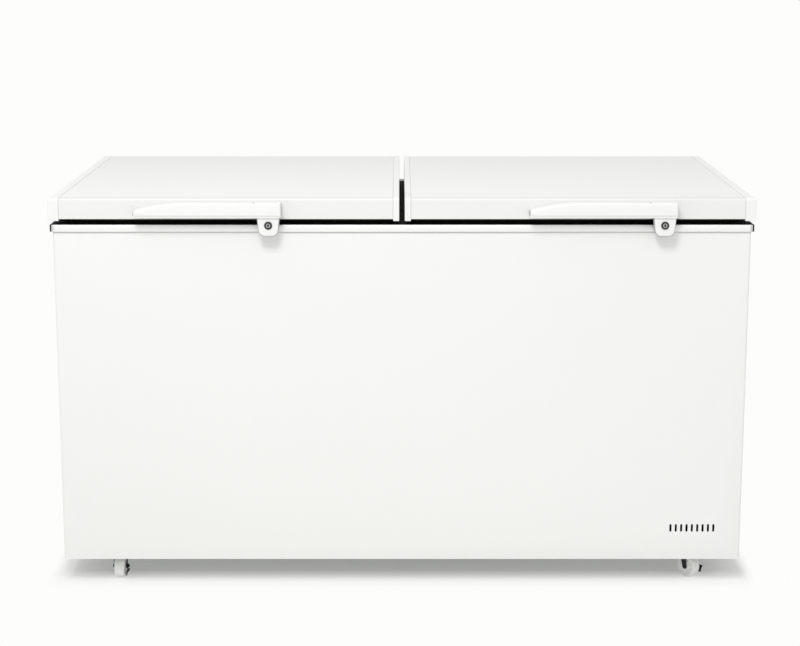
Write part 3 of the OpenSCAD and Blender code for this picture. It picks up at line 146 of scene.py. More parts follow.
class FreezerStage(bpy.types.PropertyGroup):
    """Camera, light and floor."""

    distance: length("Distance", "From the camera to the middle of the frame, along Y", 3.9425)
    height: length("Height", "Height of the camera above the floor", 1.4342)
    aside: FloatProperty(name="Aside", description="Camera's place along X", default=-0.0043, unit="LENGTH")
    tilt: FloatProperty(
        name="Tilt", description="Angle that the camera looks down", default=math.radians(10.32), subtype="ANGLE"
    )
    lens: FloatProperty(name="Lens", description="Focal length", default=76.42, min=10, unit="CAMERA")
    shift: FloatProperty(name="Shift", description="Vertical shift of the lens", default=-0.1)
    backdrop: colour("Backdrop", "Colour that the camera sees behind the freezer", (0.98, 0.985, 0.96, 1))
    fill: FloatProperty(name="Fill", description="Strength of the even light from all round", default=0.74, min=0)
    key: FloatProperty(name="Key", description="Power of the lamp above the front", default=76, min=0, unit="POWER")


def size(name):
    """A size of the finish, in millimetres."""
    return getattr(bpy.context.scene.freezer_sizes, name) / MM


# Shader maths


class Value:
    """A number that varies over a surface. Sums and products of it add Math nodes."""

    def __init__(self, finish, socket):
        self.finish = finish
        self.socket = socket

    def __add__(self, other):
        return self.finish.maths("ADD", self, other)

    def __sub__(self, other):
        return self.finish.maths("SUBTRACT", self, other)

    def __rsub__(self, other):
        return self.finish.maths("SUBTRACT", other, self)

    def __mul__(self, other):
        return self.finish.maths("MULTIPLY", self, other)

    def __truediv__(self, other):
        return self.finish.maths("DIVIDE", self, other)

    def __abs__(self):
        return self.finish.maths("ABSOLUTE", self)

    __radd__ = __add__


class Finish:
    """The nodes of a new material, or of the world."""

    def __init__(self, name, world=None):
        self.owner = world or bpy.data.materials.new(name)
        self.owner.use_nodes = True
        self.tree = self.owner.node_tree
        self.tree.nodes.clear()

    def node(self, kind, settings=None, values=None):
        """A node of that kind, with its settings made first and then its sockets filled or linked."""
        made = self.tree.nodes.new("ShaderNode" + kind)
        for key, value in (settings or {}).items():
            if key == "stops":
                ramp = made.color_ramp.elements
                while len(ramp) < len(value):
                    ramp.new(0.5)
                for stop, (position, shade) in zip(ramp, value):
                    stop.position = position
                    stop.color = (shade, shade, shade, 1)
            else:
                setattr(made, key, value)
        for key, value in (values or {}).items():
            if isinstance(value, Value):
                self.tree.links.new(value.socket, made.inputs[key])
            else:
                made.inputs[key].default_value = value
        return made

    def value(self, kind, output, settings=None, values=None):
        return Value(self, self.node(kind, settings, values).outputs[output])

    def maths(self, operation, *values):
        return self.value("Math", 0, {"operation": operation}, dict(enumerate(values)))

    def place(self, stretch=(1, 1, 1)):
        """Place on the piece in metres, times the stretch."""
        where = self.value("TexCoord", "Object")
        return self.value("VectorMath", 0, {"operation": "MULTIPLY"}, {0: where, 1: stretch})

    def axis(self, name):
        return self.value("SeparateXYZ", name, values={0: self.value("TexCoord", "Object")})

    def off(self, first, second):
        """How far along X from the nearer of two places, in millimetres."""
        return abs(abs(self.axis("X") - (first + second) / 2) - (second - first) / 2) / MM

    def least(self, value, limit):
        """The value, but never less than the limit."""
        return self.maths("MAXIMUM", value, limit)

    def far(self, across, along):
        """Distance from the distances along two axes."""
        return self.maths("SQRT", across * across + along * along)

    def noise(self, scale, detail=2, stretch=(1, 1, 1), rough=0.5):
        values = {"Vector": self.place(stretch), "Scale": scale, "Detail": detail, "Roughness": rough}
        return self.value("TexNoise", "Fac", values=values)

    def cells(self, scale, output="Distance", feature="F1"):
        return self.value("TexVoronoi", output, {"feature": feature}, {"Vector": self.place(), "Scale": scale})

    def ramp(self, value, *stops):
        return self.value("ValToRGB", "Color", {"stops": stops}, {0: value})

    def blend(self, factor, first, second):
        return self.value("Mix", 2, {"data_type": "RGBA"}, {0: factor, 6: first, 7: second})

    def tint(self, factor, shade, first, second):
        """The colour, from one lightness to another."""
        return self.blend(factor, shaded(shade, first), shaded(shade, second))

    def stain(self, under, factor, shade, amount):
        """What lies under, stained with the colour at that lightness."""
        return self.blend(factor, under, shaded(shade, amount))

    def bump(self, height, depth, strength=1.0):
        return self.value("Bump", 0, values={"Height": height, "Distance": depth, "Strength": strength})

    def surface(self, **values):
        """Ends the material in one shader with those sockets."""
        keys = {key.replace("_", " ").title().replace("Ior", "IOR"): value for key, value in values.items()}
        self.node("OutputMaterial", values={0: self.value("BsdfPrincipled", 0, values=keys)})
        return self.owner


def shaded(shade, amount):
    """The colour, a little lighter or darker."""
    return (*(channel * amount for channel in shade[:3]), 1)


def enamel(shade):
    """Powder coat on sheet steel: fine orange peel, a little dust low down, a painted highlight along the bottom fold
    and a painted shadow right under the rail.
    """
    f = Finish("enamel")
    peel = f.noise(420, 3)
    sweep = f.noise(2.2, 2)
    dust = f.ramp(f.axis("Z") + f.noise(30, 4) * 0.02, (0.05, 1), (0.1, 0))
    # heights where the painted shadow under the rail begins and where the painted highlight along the bottom fold ends
    shadow_foot, hem_foot = 0.799, 0.062
    # painted shadow on the sheet just under the rail
    painted_rail_shadow = f.ramp((f.axis("Z") - shadow_foot) * 100, (0.1, 0), (0.25, 1))
    # painted highlight along the bottom fold, where the fold would catch the light
    painted_hem_highlight = f.ramp((f.axis("Z") - hem_foot) * 100, (0.26, 1), (0.3, 0))
    darkened = f.stain(f.tint(sweep, shade, 0.985, 1), dust * 0.06, shade, 0.7)
    return f.surface(
        base_color=f.stain(f.stain(darkened, painted_hem_highlight, shade, 1.06), painted_rail_shadow * 0.45, shade, 0.3),
        roughness=0.3 + peel * 0.08 + sweep * 0.06,
        normal=f.bump(peel, 0.00012, 0.35),
        specular_ior_level=0.45,
    )


def lid_enamel(shade):
    """The same coat on a lid, but darker, as painted shade against the light that falls on its top, with painted shade
    in the groove along its front and at the seams of its end caps.
    """
    f = Finish("enamel_lid")
    low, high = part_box("lid_skin_right")
    peel = f.noise(420, 3)
    sweep = f.noise(2.2, 2)
    behind = (f.axis("Y") - low.y) / MM
    # painted shade in the groove along the front of the top
    groove = f.ramp(behind / 20, (0.25, 0), (0.34, 1), (0.54, 1), (0.6, 0))
    off_middle = abs(abs(f.axis("X")) - (low.x + high.x) / 2)
    # painted shade at the seams with the end caps
    seam = f.ramp(((high.x - low.x) / 2 - off_middle) / (4 * MM), (0.12, 1), (0.3, 0))
    # darker than the casing's coat, as painted shade on the top, which takes more light
    darkened = f.stain(f.tint(sweep, shade, 0.925, 0.94), groove * 0.75, shade, 0.45)
    return f.surface(
        base_color=f.stain(darkened, seam * 0.55, shade, 0.3),
        roughness=0.34 + peel * 0.08 + sweep * 0.06,
        normal=f.bump(peel, 0.00012, 0.35),
        specular_ior_level=0.32,
    )


def moulded(name, shade, gloss=0.42, grain=1400, depth=0.00005, gleam=0.42, painted_shade=None):
    """Moulded plastic with a fine spark-eroded grain, and painted shade where a function for it is given."""
    f = Finish(name)
    fine = f.noise(grain, 2)
    broad = f.noise(14, 3)
    tint = f.tint(broad, shade, 0.97, 1)
    return f.surface(
        base_color=painted_shade(f, tint, shade) if painted_shade else tint,
        roughness=gloss + broad * 0.08 + fine * 0.05,
        normal=f.bump(fine, depth, 0.5),
        specular_ior_level=gleam,
    )


def handle_dirt(f, clean, shade):
    """Painted shade along the bottom of the handles, at their ends and round their tabs, and a dark spot round the
    screw hole.
    """
    left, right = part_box("handle_left"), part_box("handle_right")
    tips, ends = (left[0].x, right[0].x), (left[1].x, right[1].x)
    height = (f.axis("Z") - GRIP_BASE * MM) / MM
    # painted shade in the crease low on the grip
    low = f.ramp(height / 10, (0.26, 0), (0.34, 1), (0.5, 1), (0.58, 0))
    above = f.ramp(height / 10, (0.3, 0), (0.5, 1))
    # painted shade at the rounded tips and ends, where the grip meets the lid
    tip = f.ramp(f.off(*tips) / 5, (0.3, 1), (0.62, 0)) * above
    end = f.ramp(f.off(*ends) / 5, (0.2, 1), (0.5, 0)) * above
    up = (f.axis("Z") - TAB_BEND_HEIGHT * MM) / MM
    beside = f.least(f.off(*(end - LOCK_INSET * MM for end in ends)) - TAB_FLAT, 0)
    # a tab widens by a tenth of its height
    reach = f.far(beside, f.least(0 - up, 0)) - f.least(up, 0) * 0.1
    # painted shadow round the rounded edge of each tab
    edge = f.ramp(reach / 20, (0.64, 0), (0.69, 1)) * f.ramp(0 - height / 10, (0, 0), (0.1, 1))
    across = f.off(*(end - (LOCK_INSET + SCREW_OFF) * MM for end in ends))
    behind = (f.axis("Y") - right[0].y - SCREW_BEHIND * MM) / MM
    # a dark spot round the screw hole
    hole = f.ramp(f.far(across, behind) / 5, (0.5, 1), (0.64, 0))
    with_shade = f.stain(clean, low * 0.13 + edge * 0.7, shade, 0.25)
    with_shade = f.stain(f.stain(with_shade, end * 0.3, shade, 0.25), tip * 0.6, shade, 0.25)
    return f.stain(with_shade, hole * 0.8, shade, 0.1)


def anodised(name, shade, stretch):
    """Silver lacquered rail, drawn along its length, grey where it meets the corners."""
    f = Finish(name)
    clean_end = 0.74
    corner = f.ramp((abs(f.axis("X")) - clean_end) * 50, (0.35, 0), (0.52, 1))
    lines = f.noise(1.5, 4, stretch, 0.65)
    return f.surface(
        base_color=f.stain(f.tint(lines, shade, 0.97, 1), corner * 0.5, shade, 0.3),
        roughness=0.3 + lines * 0.16,
        metallic=0.12,
        normal=f.bump(lines, 0.00004, 0.3),
    )


def rubbery(shade):
    """Soft vinyl and rubber, with a dull bloom."""
    f = Finish("black_rubber")
    bloom = f.noise(60, 4)
    return f.surface(
        base_color=f.tint(bloom, shade, 1, 1.9),
        roughness=0.62 + bloom * 0.2,
        normal=f.bump(f.noise(2200, 2), 0.00004, 0.5),
        specular_ior_level=0.35,
    )


def plated(shade):
    """Bright zinc on steel: soft crystals and a faint yellow and blue passivation."""
    f = Finish("zinc_steel")
    grey = f.value("RGBToBW", 0, values={0: f.cells(140, "Color")})
    cloud = f.noise(35, 4)
    yellow, blue = (
        (*(channel * part for channel, part in zip(shade, parts)), 1)
        for parts in ((1.04, 1.0, 0.9), (0.94, 0.98, 1.05))
    )
    return f.surface(
        base_color=f.stain(f.blend(cloud, yellow, blue), grey * 0.35, shade, 0.82),
        roughness=0.3 + grey * 0.14 + cloud * 0.1,
        metallic=1.0,
        normal=f.bump(f.noise(900, 2), 0.00003, 0.4),
    )


def passivated(shade):
    """Black passivated steel of forks and brakes, worn a little; the near-black also stands in for the shade on the
    forks, as painted shade.
    """
    f = Finish("dark_metal")
    cloud = f.noise(90, 5)
    wear = f.ramp(f.noise(260, 5), (0.62, 0), (0.74, 1))
    return f.surface(
        base_color=f.blend(wear * 0.3, shade, (0.1, 0.1, 0.105, 1)),
        roughness=0.42 + cloud * 0.18,
        metallic=0.15,
        normal=f.bump(cloud, 0.00006, 0.4),
        specular_ior_level=0.3,
    )


def stucco(shade):
    """Aluminium sheet with the pebbled emboss of a freezer tank."""
    f = Finish("tank_aluminium")
    smear = f.noise(9, 4)
    return f.surface(
        base_color=f.tint(smear, shade, 0.93, 1),
        roughness=0.26 + smear * 0.16,
        metallic=0.92,
        normal=f.bump(f.cells(150, "Distance", "SMOOTH_F1") + f.noise(70, 2) * 0.8, 0.0012, 0.7),
    )


def coppery(shade):
    """Drawn copper tube, tarnished in places."""
    f = Finish("copper_tube")
    tarnish = f.noise(45, 5)
    return f.surface(
        base_color=f.tint(f.ramp(tarnish, (0.42, 0), (0.68, 1)), shade, 1, 0.5),
        roughness=0.24 + tarnish * 0.3,
        metallic=1.0,
        normal=f.bump(f.noise(700, 2), 0.00002, 0.4),
    )


def lacquered(name, gloss):
    """Black dipped paint of the compressor and the condenser."""
    f = Finish(name)
    runs = f.noise(30, 3, (1, 1, 0.25))
    return f.surface(
        base_color=f.blend(runs, (0.012, 0.012, 0.013, 1), (0.03, 0.03, 0.031, 1)),
        roughness=gloss + runs * 0.16,
        normal=f.bump(f.noise(350, 2), 0.00012, 0.5),
        specular_ior_level=0.3,
    )


def foamed(shade):
    """Rigid foam with small burst cells."""
    f = Finish("foam")
    age = f.noise(18, 4)
    return f.surface(
        base_color=f.tint(age, shade, 1, 0.8),
        roughness=0.85 + age * 0.1,
        normal=f.bump(f.cells(520), 0.0006, 0.8),
        specular_ior_level=0.2,
    )


def cylinder_face(shade):
    """Nickel of a lock core, turned on a lathe, with painted shade of the keyway's recess round the keyway."""
    f = Finish("chrome_core")
    left, right = ((low + high) / 2 for low, high in (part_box(f"lock_bezel_{side}") for side in SIDES))
    up = (f.axis("Z") - right.z) / MM
    # painted shade of the keyway's recess
    key = f.ramp(f.far(f.off(left.x, right.x), up) / 10, (0.22, 1), (0.34, 0))
    worn = f.noise(220, 4)
    return f.surface(
        base_color=f.stain(f.tint(worn, shade, 1.5, 1.8), key * 0.85, shade, 0.05),
        roughness=0.38 + worn * 0.15,
        metallic=0.6,
        normal=f.bump(f.noise(1500, 3), 0.00003, 0.5),
    )


def finishes():
    """Every finish by the name of its slot in the record, and those that the scene adds to one slot."""
    c = bpy.context.scene.freezer_colours
    return {
        "painted_steel": enamel(c.enamel),
        "painted_lid": lid_enamel(c.enamel),
        "white_plastic": moulded("white_plastic", c.plastic),
        "handle_plastic": moulded("handle_plastic", c.plastic, painted_shade=handle_dirt),
        "silver_trim": anodised("silver_trim", c.trim, (2, 600, 600)),
        "silver_trim_side": anodised("silver_trim_side", c.trim, (600, 2, 600)),
        "black_plastic": moulded("black_plastic", c.black, 0.4, 900, 0.00009),
        "collar_plastic": moulded("collar_plastic", c.black, 0.66, 900, 0.00009, 0.1),
        "black_rubber": rubbery(c.rubber),
        "zinc_steel": plated(c.zinc),
        "foam": foamed(c.foam),
        "tank_aluminium": stucco(c.tank),
        "copper_tube": coppery(c.copper),
        "black_paint": lacquered("black_paint", 0.26),
        "condenser_paint": lacquered("condenser_paint", 0.62),
        "dark_metal": passivated(c.dark),
        "white_nylon": moulded("white_nylon", c.nylon, 0.46, 500, 0.00006),
        "chrome_core": cylinder_face(c.lock),
        "coated_wire": moulded("coated_wire", c.wire, 0.3, 160, 0.00008),
    }


FINISHES = {}


def coat(piece, finish):
    """Gives a mesh one finish."""
    if not FINISHES:
        FINISHES.update(finishes())
    piece.data.materials.clear()
    piece.data.materials.append(FINISHES[finish])


# Modelling


def metres(values):
    return tuple(value * MM for value in values)


def box(node):
    """The lowest and highest corner of a node, in millimetres."""
    return [Vector(round(value / MM, 3) for value in corner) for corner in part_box(node)]


def pivot(joint):
    """Where a joint's axis passes, in millimetres."""
    return Vector(next(each["pos_m"] for each in frame["joints"] if each["name"] == joint)) / MM


def idle():
    """Leaves edit mode and lets go of everything."""
    if bpy.context.mode != "OBJECT":
        bpy.ops.object.mode_set(mode="OBJECT")
    bpy.ops.object.select_all(action="DESELECT")


def take(piece, *others):
    idle()
    for each in (piece, *others):
        each.select_set(True)
    bpy.context.view_layer.objects.active = piece


def editing(piece):
    take(piece)
    bpy.ops.object.mode_set(mode="EDIT")
    bpy.ops.mesh.select_mode(type="VERT")
    bpy.ops.mesh.select_all(action="SELECT")


def named(name):
    """Names the primitive that was just added, with its place in its mesh."""
    piece = bpy.context.object
    bpy.ops.object.transform_apply(location=True, rotation=True, scale=True)
    piece.name = piece.data.name = name
    return piece


def pick(kind, *groups):
    """Selects those faces, edges or points in edit mode that pass all tests of one of the groups."""
    bpy.ops.mesh.select_mode(type=kind)
    bpy.ops.mesh.select_all(action="DESELECT")
    mesh = bmesh.from_edit_mesh(bpy.context.object.data)
    for item in {"VERT": mesh.verts, "EDGE": mesh.edges, "FACE": mesh.faces}[kind]:
        points = [corner.co / MM for corner in ([item] if kind == "VERT" else item.verts)]
        if any(all(test(point) for test in group for point in points) for group in groups):
            item.select_set(True)
    bmesh.update_edit_mesh(bpy.context.object.data)


def welded():
    bpy.ops.mesh.select_all(action="SELECT")
    bpy.ops.mesh.remove_doubles(threshold=WELD * MM)


def outward():
    """Closes doubled points, turns every face outwards and leaves edit mode."""
    welded()
    bpy.ops.mesh.normals_make_consistent(inside=False)
    idle()


def extrude(step):
    bpy.ops.mesh.extrude_region_move(TRANSFORM_OT_translate={"value": metres(step)})


def bevel(width, segments, **settings):
    bpy.ops.mesh.bevel(offset=width * MM, segments=segments, **{"affect": "EDGES", **settings})


def quarter_turn(steps, x, y):
    """Sweeps what is selected a quarter turn about an upright axis."""
    centre = metres((x, y, 0))
    bpy.ops.mesh.spin(steps=steps, angle=-math.pi / 2, center=centre, axis=AXES["Z"])


def block(name, low, high):
    idle()
    low, high = Vector(metres(low)), Vector(metres(high))
    bpy.ops.mesh.primitive_cube_add(size=1, location=(low + high) / 2, scale=high - low)
    return named(name)


def laid(pairs, base, plane):
    """Pairs of numbers laid off from a point, along two axes such as "XZ"."""
    axes = ["XYZ".index(axis) for axis in plane]
    points = []
    for pair in pairs:
        point = list(base)
        for axis, value in zip(axes, pair):
            point[axis] += value
        points.append(point)
    return points


def drawn(name, points, filled=False):
    """A line drawn by extruding one vertex from point to point. It stays in edit mode."""
    idle()
    bpy.ops.mesh.primitive_plane_add(size=MM, location=(0, 0, 0))
    piece = named(name)
    editing(piece)
    bpy.ops.mesh.merge(type="CENTER")
    bpy.ops.transform.translate(value=metres(points[0]))
    for start, end in zip(points, points[1:]):
        extrude([last - first for first, last in zip(start, end)])
    bpy.ops.mesh.select_all(action="SELECT")
    if filled:
        bpy.ops.mesh.edge_face_add()
    return piece


def prism(name, pairs, base, depth, along="Y"):
    """An outline laid off from a point, filled, and extruded along the axis that it lies across."""
    piece = drawn(name, laid(pairs, base, {"X": "YZ", "Y": "XZ"}[along]), True)
    extrude([depth * part for part in AXES[along]])
    outward()
    return piece


def turned(name, half, base, axis, steps=48, closed=True):
    """A half section of radii and distances along an axis, drawn and spun round that axis."""
    points = laid(half, base, {"X": "ZX", "Y": "XY", "Z": "XZ"}[axis])
    piece = drawn(name, points + points[:1] if closed else points)
    bpy.ops.mesh.spin(steps=steps, angle=2 * math.pi, center=metres(base), axis=AXES[axis])
    outward()
    return piece


def rod(name, start, end, radius, sides=24):
    """A round bar between two points."""
    start, end = Vector(metres(start)), Vector(metres(end))
    turn = (end - start).to_track_quat("Z", "Y").to_euler()
    idle()
    bpy.ops.mesh.primitive_cylinder_add(
        vertices=sides, radius=radius * MM, depth=(end - start).length, location=(start + end) / 2, rotation=turn
    )
    return named(name)


def eased(points, bend, count=4):
    """The line with its corners rounded, each by no more than its own runs allow."""
    points = [Vector(point) for point in points]
    line = [points[0]]
    for before, corner, after in zip(points, points[1:], points[2:]):
        step = min(bend, (before - corner).length * 0.48, (after - corner).length * 0.48)
        start = corner + (before - corner).normalized() * step
        end = corner + (after - corner).normalized() * step
        for i in range(count + 1):
            t = i / count
            line.append(start.lerp(corner, t).lerp(corner.lerp(end, t), t))
    return line + [points[-1]]


def wire(name, points, radius, bend, sides=8, closed=False):
    """A drawn line with rounded corners, made a round wire or tube."""
    if closed:
        half_way = (Vector(points[0]) + Vector(points[-1])) / 2
        points = [half_way, *points, half_way]
    piece = drawn(name, eased(points, bend))
    welded()
    take(piece)
    bpy.ops.object.convert(target="CURVE")
    curve = bpy.context.object.data
    curve.bevel_depth = radius * MM
    curve.bevel_resolution = (sides - 4) // 2
    curve.use_fill_caps = True
    bpy.ops.object.convert(target="MESH")
    piece = bpy.context.object
    editing(piece)
    outward()
    piece.name = piece.data.name = name
    return smooth(piece, 50)


def arc(centre, radius, start, end, count):
    """Points of an arc, in degrees, as pairs."""
    angles = [math.radians(start + (end - start) * i / count) for i in range(count + 1)]
    return [(centre[0] + radius * math.cos(angle), centre[1] + radius * math.sin(angle)) for angle in angles]


def modify(piece, kind, **settings):
    """Adds a modifier and applies it."""
    take(piece)
    made = piece.modifiers.new(kind.title(), kind)
    for key, value in settings.items():
        setattr(made, key, value)
    bpy.ops.object.modifier_apply(modifier=made.name)
    return piece


def modify_about(place, key, piece, kind, **settings):
    """Applies a modifier that works about a place of its own."""
    marker = bpy.data.objects.new("marker", None)
    bpy.context.collection.objects.link(marker)
    marker.location = metres(place)
    modify(piece, kind, **{key: marker}, **settings)
    bpy.data.objects.remove(marker)


def smooth(piece, angle=38):
    take(piece)
    bpy.ops.object.shade_smooth_by_angle(angle=math.radians(angle))
    return piece


def rounded(piece, width, segments=2, angle=35):
    """Bevels every edge sharper than the angle, and shades the rest smooth."""
    angle = math.radians(angle)
    return smooth(modify(piece, "BEVEL", width=width * MM, segments=segments, limit_method="ANGLE", angle_limit=angle))


def cut(piece, *tools, operation="DIFFERENCE"):
    for tool in tools:
        modify(piece, "BOOLEAN", operation=operation, solver="EXACT", object=tool)
        bpy.data.objects.remove(tool)
    return piece


def fuse(piece, *others):
    return cut(piece, *others, operation="UNION")


def repeat(piece, count, step):
    """Copies of the piece in a row, in the same mesh."""
    return modify(
        piece, "ARRAY", count=count, use_relative_offset=False, use_constant_offset=True,
        constant_offset_displace=metres(step),
    )


def joined(name, *pieces):
    take(*pieces)
    bpy.ops.object.join()
    pieces[0].name = pieces[0].data.name = name
    return pieces[0]


def copied(piece, name, move=(0, 0, 0), turn=0, about=(0, 0, 0), axis="Z", mirrored=False):
    """A copy with its own mesh, moved, turned about an axis through a point, or mirrored across X = 0."""
    take(piece)
    bpy.ops.object.duplicate(linked=False)
    copy = bpy.context.object
    copy.name = copy.data.name = name
    if mirrored:
        editing(copy)
        bpy.ops.transform.resize(value=(-1, 1, 1), center_override=(0, 0, 0))
        bpy.ops.mesh.normals_make_consistent(inside=False)
        idle()
    move, about = Vector(metres(move)), Vector(metres(about))
    spot = Matrix.Translation(about + move) @ Matrix.Rotation(math.radians(turn), 4, axis)
    copy.data.transform(spot @ Matrix.Translation(-about))
    return copy


def ready(piece, body, slot, *nodes, finish=None):
    """Gives a finished piece its body and the finish of its slot, or another finish, and hides the nodes that it
    stands for.
    """
    idle()
    coat(piece, finish or slot)
    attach(piece, body)
    if nodes:
        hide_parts(*nodes)


def ready_pair(piece, name, body, slot, node, finish=None, mirrored=False):
    """Readies a right-hand piece and its left-hand copy, mirrored or moved. The names have {} for the side."""
    left, right = (box(node.format(side))[0] for side in SIDES)
    other = copied(piece, name.format("left"), (0, 0, 0) if mirrored else left - right, mirrored=mirrored)
    for side, each in (("right", piece), ("left", other)):
        ready(each, body.format(side), slot, node.format(side), finish=finish)


def keep(nodes, width=0, finish=None, segments=2):
    """Paints nodes that stay, and rounds their edges with live modifiers unless the width is 0."""
    for node in nodes.split():
        kept = frame["nodes"][node]
        coat(kept, finish or SLOT_OF[node])
        if width:
            kept.modifiers.new("Weld", "WELD").merge_threshold = 0.005 * MM
            flat = kept.modifiers.new("Flat", "DECIMATE")
            flat.decimate_type = "DISSOLVE"
            flat.angle_limit = math.radians(0.5)
            edge = kept.modifiers.new("Edge", "BEVEL")
            edge.width = width * MM
            edge.segments = segments
            edge.limit_method = "ANGLE"
            edge.angle_limit = math.radians(35)
            edge.use_clamp_overlap = True


# Pieces


class FREEZER_OT_casing(bpy.types.Operator):
    """Builds the front sheet of the casing with its vent and finishes the other sheets"""

    bl_idname = "freezer.casing"
    bl_label = "Casing"

    def execute(self, context):
        low, high = box("front_panel")
        sheet = block("front_sheet", low, high)
        editing(sheet)
        front = low.y + 1
        pick(
            "EDGE", [lambda p: p.y < front and p.x > high.x - 1],
            [lambda p: p.y < front and p.x < low.x + 1],
        )
        bevel(size("corner"), 8)
        pick("EDGE", [lambda p: p.z < low.z + 1 and p.y < front + size("corner")])
        bevel(size("fold"), 3)
        for open_side in ([lambda p: p.y > high.y - 1], [lambda p: p.z > high.z - 1]):
            pick("FACE", open_side)
            bpy.ops.mesh.delete(type="FACE")
        outward()
        modify(sheet, "SOLIDIFY", thickness=MM, offset=-1, use_even_offset=True)
        # the vent: the rightmost of its slots, and then all nine
        x, z = high.x - 60.5, low.z + 73
        half_width, straight, pitch = 2.4, 6.5, 11.9
        ring = arc((0, straight), half_width, 0, 180, 8) + arc((0, -straight), half_width, 180, 360, 8)
        slots = repeat(prism("slot_tool", ring, (x, low.y - 1, z), 4), 9, (-pitch, 0, 0))
        ready(smooth(cut(sheet, slots)), "cabinet", "painted_steel", "front_panel")
        keep("side_panel_left side_panel_right back_panel base_plate", 0.4)
        keep("insulation inner_tank evaporator_coil")
        keep("rim_collar", 0.8, "collar_plastic")
        keep("centre_mullion", 1.2, "collar_plastic")
        return {"FINISHED"}


class FREEZER_OT_rails(bpy.types.Operator):
    """Draws the trim rails round the top of the casing"""

    bl_idname = "freezer.rails"
    bl_label = "Trim rails"

    def execute(self, context):
        low, high = box("top_rail_front")
        groove, corner, deep, top = size("groove"), 4, 12, high.z - low.z
        section = [
            (deep, 0), (1, 0), (0, 0.8), (0, 1.6), (groove, 1.9), (groove, 2.5), (0, 2.8), (0, top - 2.6),
            (0.3, top - 1.1), (1, top - 0.2), (1.6, top), (2, top), (2, 2), (deep, 2),
        ]
        base = (low.x + corner, low.y, low.z)
        rail = prism("rail_front", section, base, high.x - low.x - 2 * corner, "X")
        ready(smooth(rail, 50), "cabinet", "silver_trim", "top_rail_front")
        for side, name in ((-1, "left"), (1, "right")):
            outer, inner = side * high.x, side * (high.x - corner)
            end = block(
                f"rail_corner_{name}", (min(outer, inner), low.y, low.z), (max(outer, inner), low.y + deep, high.z)
            )
            editing(end)
            pick("EDGE", [lambda p: abs(p.x - outer) < 1 and p.y < low.y + 1])
            bevel(3, 6)
            ready(rounded(end, 0.5), "cabinet", "black_plastic")
        keep("top_rails_side", 0.5, "silver_trim_side")
        keep("top_rail_rear", 0.5)
        return {"FINISHED"}


class FREEZER_OT_lids(bpy.types.Operator):
    """Finishes the lids: sheet, foam, liner and end caps"""

    bl_idname = "freezer.lids"
    bl_label = "Lids"

    def execute(self, context):
        low, high = box("lid_skin_right")
        thick, fold, bend, step = 1, 10, 5, size("lid_groove")
        deep, top = high.y - low.y, high.z - low.z

        def shell(inset):
            """Outline from the front fold over the top to the rear fold, drawn in by the inset."""
            front = arc((bend, top - bend), bend - inset, 180, 90, 5)
            groove = [(y, top - inset - step * down) for y, down in ((6.2, 0), (7.2, 1), (10.8, 1), (11.8, 0))]
            rear = arc((deep - bend, top - bend), bend - inset, 90, 0, 5)
            first = [(fold, inset), (inset, inset)]
            return first + front + groove + rear + [(deep - inset, inset), (deep - fold, inset)]

        sheet = prism("lid_sheet_right", shell(0) + shell(thick)[::-1], low, high.x - low.x, "X")
        ready_pair(
            smooth(sheet, 35), "lid_sheet_{}", "lid_{}", "painted_steel", "lid_skin_{}", "painted_lid", mirrored=True
        )
        for side in SIDES:
            keep(f"lid_foam_{side}")
            keep(f"lid_end_caps_{side}", size("seam"), segments=3)
            keep(f"lid_liner_{side}", 3, segments=3)
        return {"FINISHED"}


class FREEZER_OT_seals(bpy.types.Operator):
    """Sweeps the folded seal of each lid round its corners"""

    bl_idname = "freezer.seals"
    bl_label = "Lid seals"

    def execute(self, context):
        low, high = box("gasket_right")
        wide, bend, lip = 16, 3, size("lip")
        # one side of the section, from the bottom up
        side = [
            (0.5, 0), (0, 0.6), (0, 4.4), (0.8, 5.2), (lip, 5.9), (lip, 6.5), (0.2, 8), (0.2, 8.8),
            (lip, 10), (lip, 10.6), (1, 11.4), (1, 13),
        ]
        section = side[:1] + [(wide - u, z) for u, z in side] + side[:0:-1]
        inset = wide + bend
        x0, y0, x1, y1 = low.x + inset, low.y + inset, high.x - inset, high.y - inset
        start = laid([(-bend - u, z) for u, z in section], (x0, y0, low.z), "YZ")
        seal = drawn("seal_right", start + start[:1])
        spot = Vector((x0, y0))
        for corner in ((x1, y0), (x1, y1), (x0, y1), (x0, y0)):
            extrude((*(Vector(corner) - spot), 0))
            quarter_turn(5, *corner)
            spot = Vector(corner)
        outward()
        ready_pair(smooth(seal, 60), "seal_{}", "lid_{}", "black_rubber", "gasket_{}", mirrored=True)
        return {"FINISHED"}


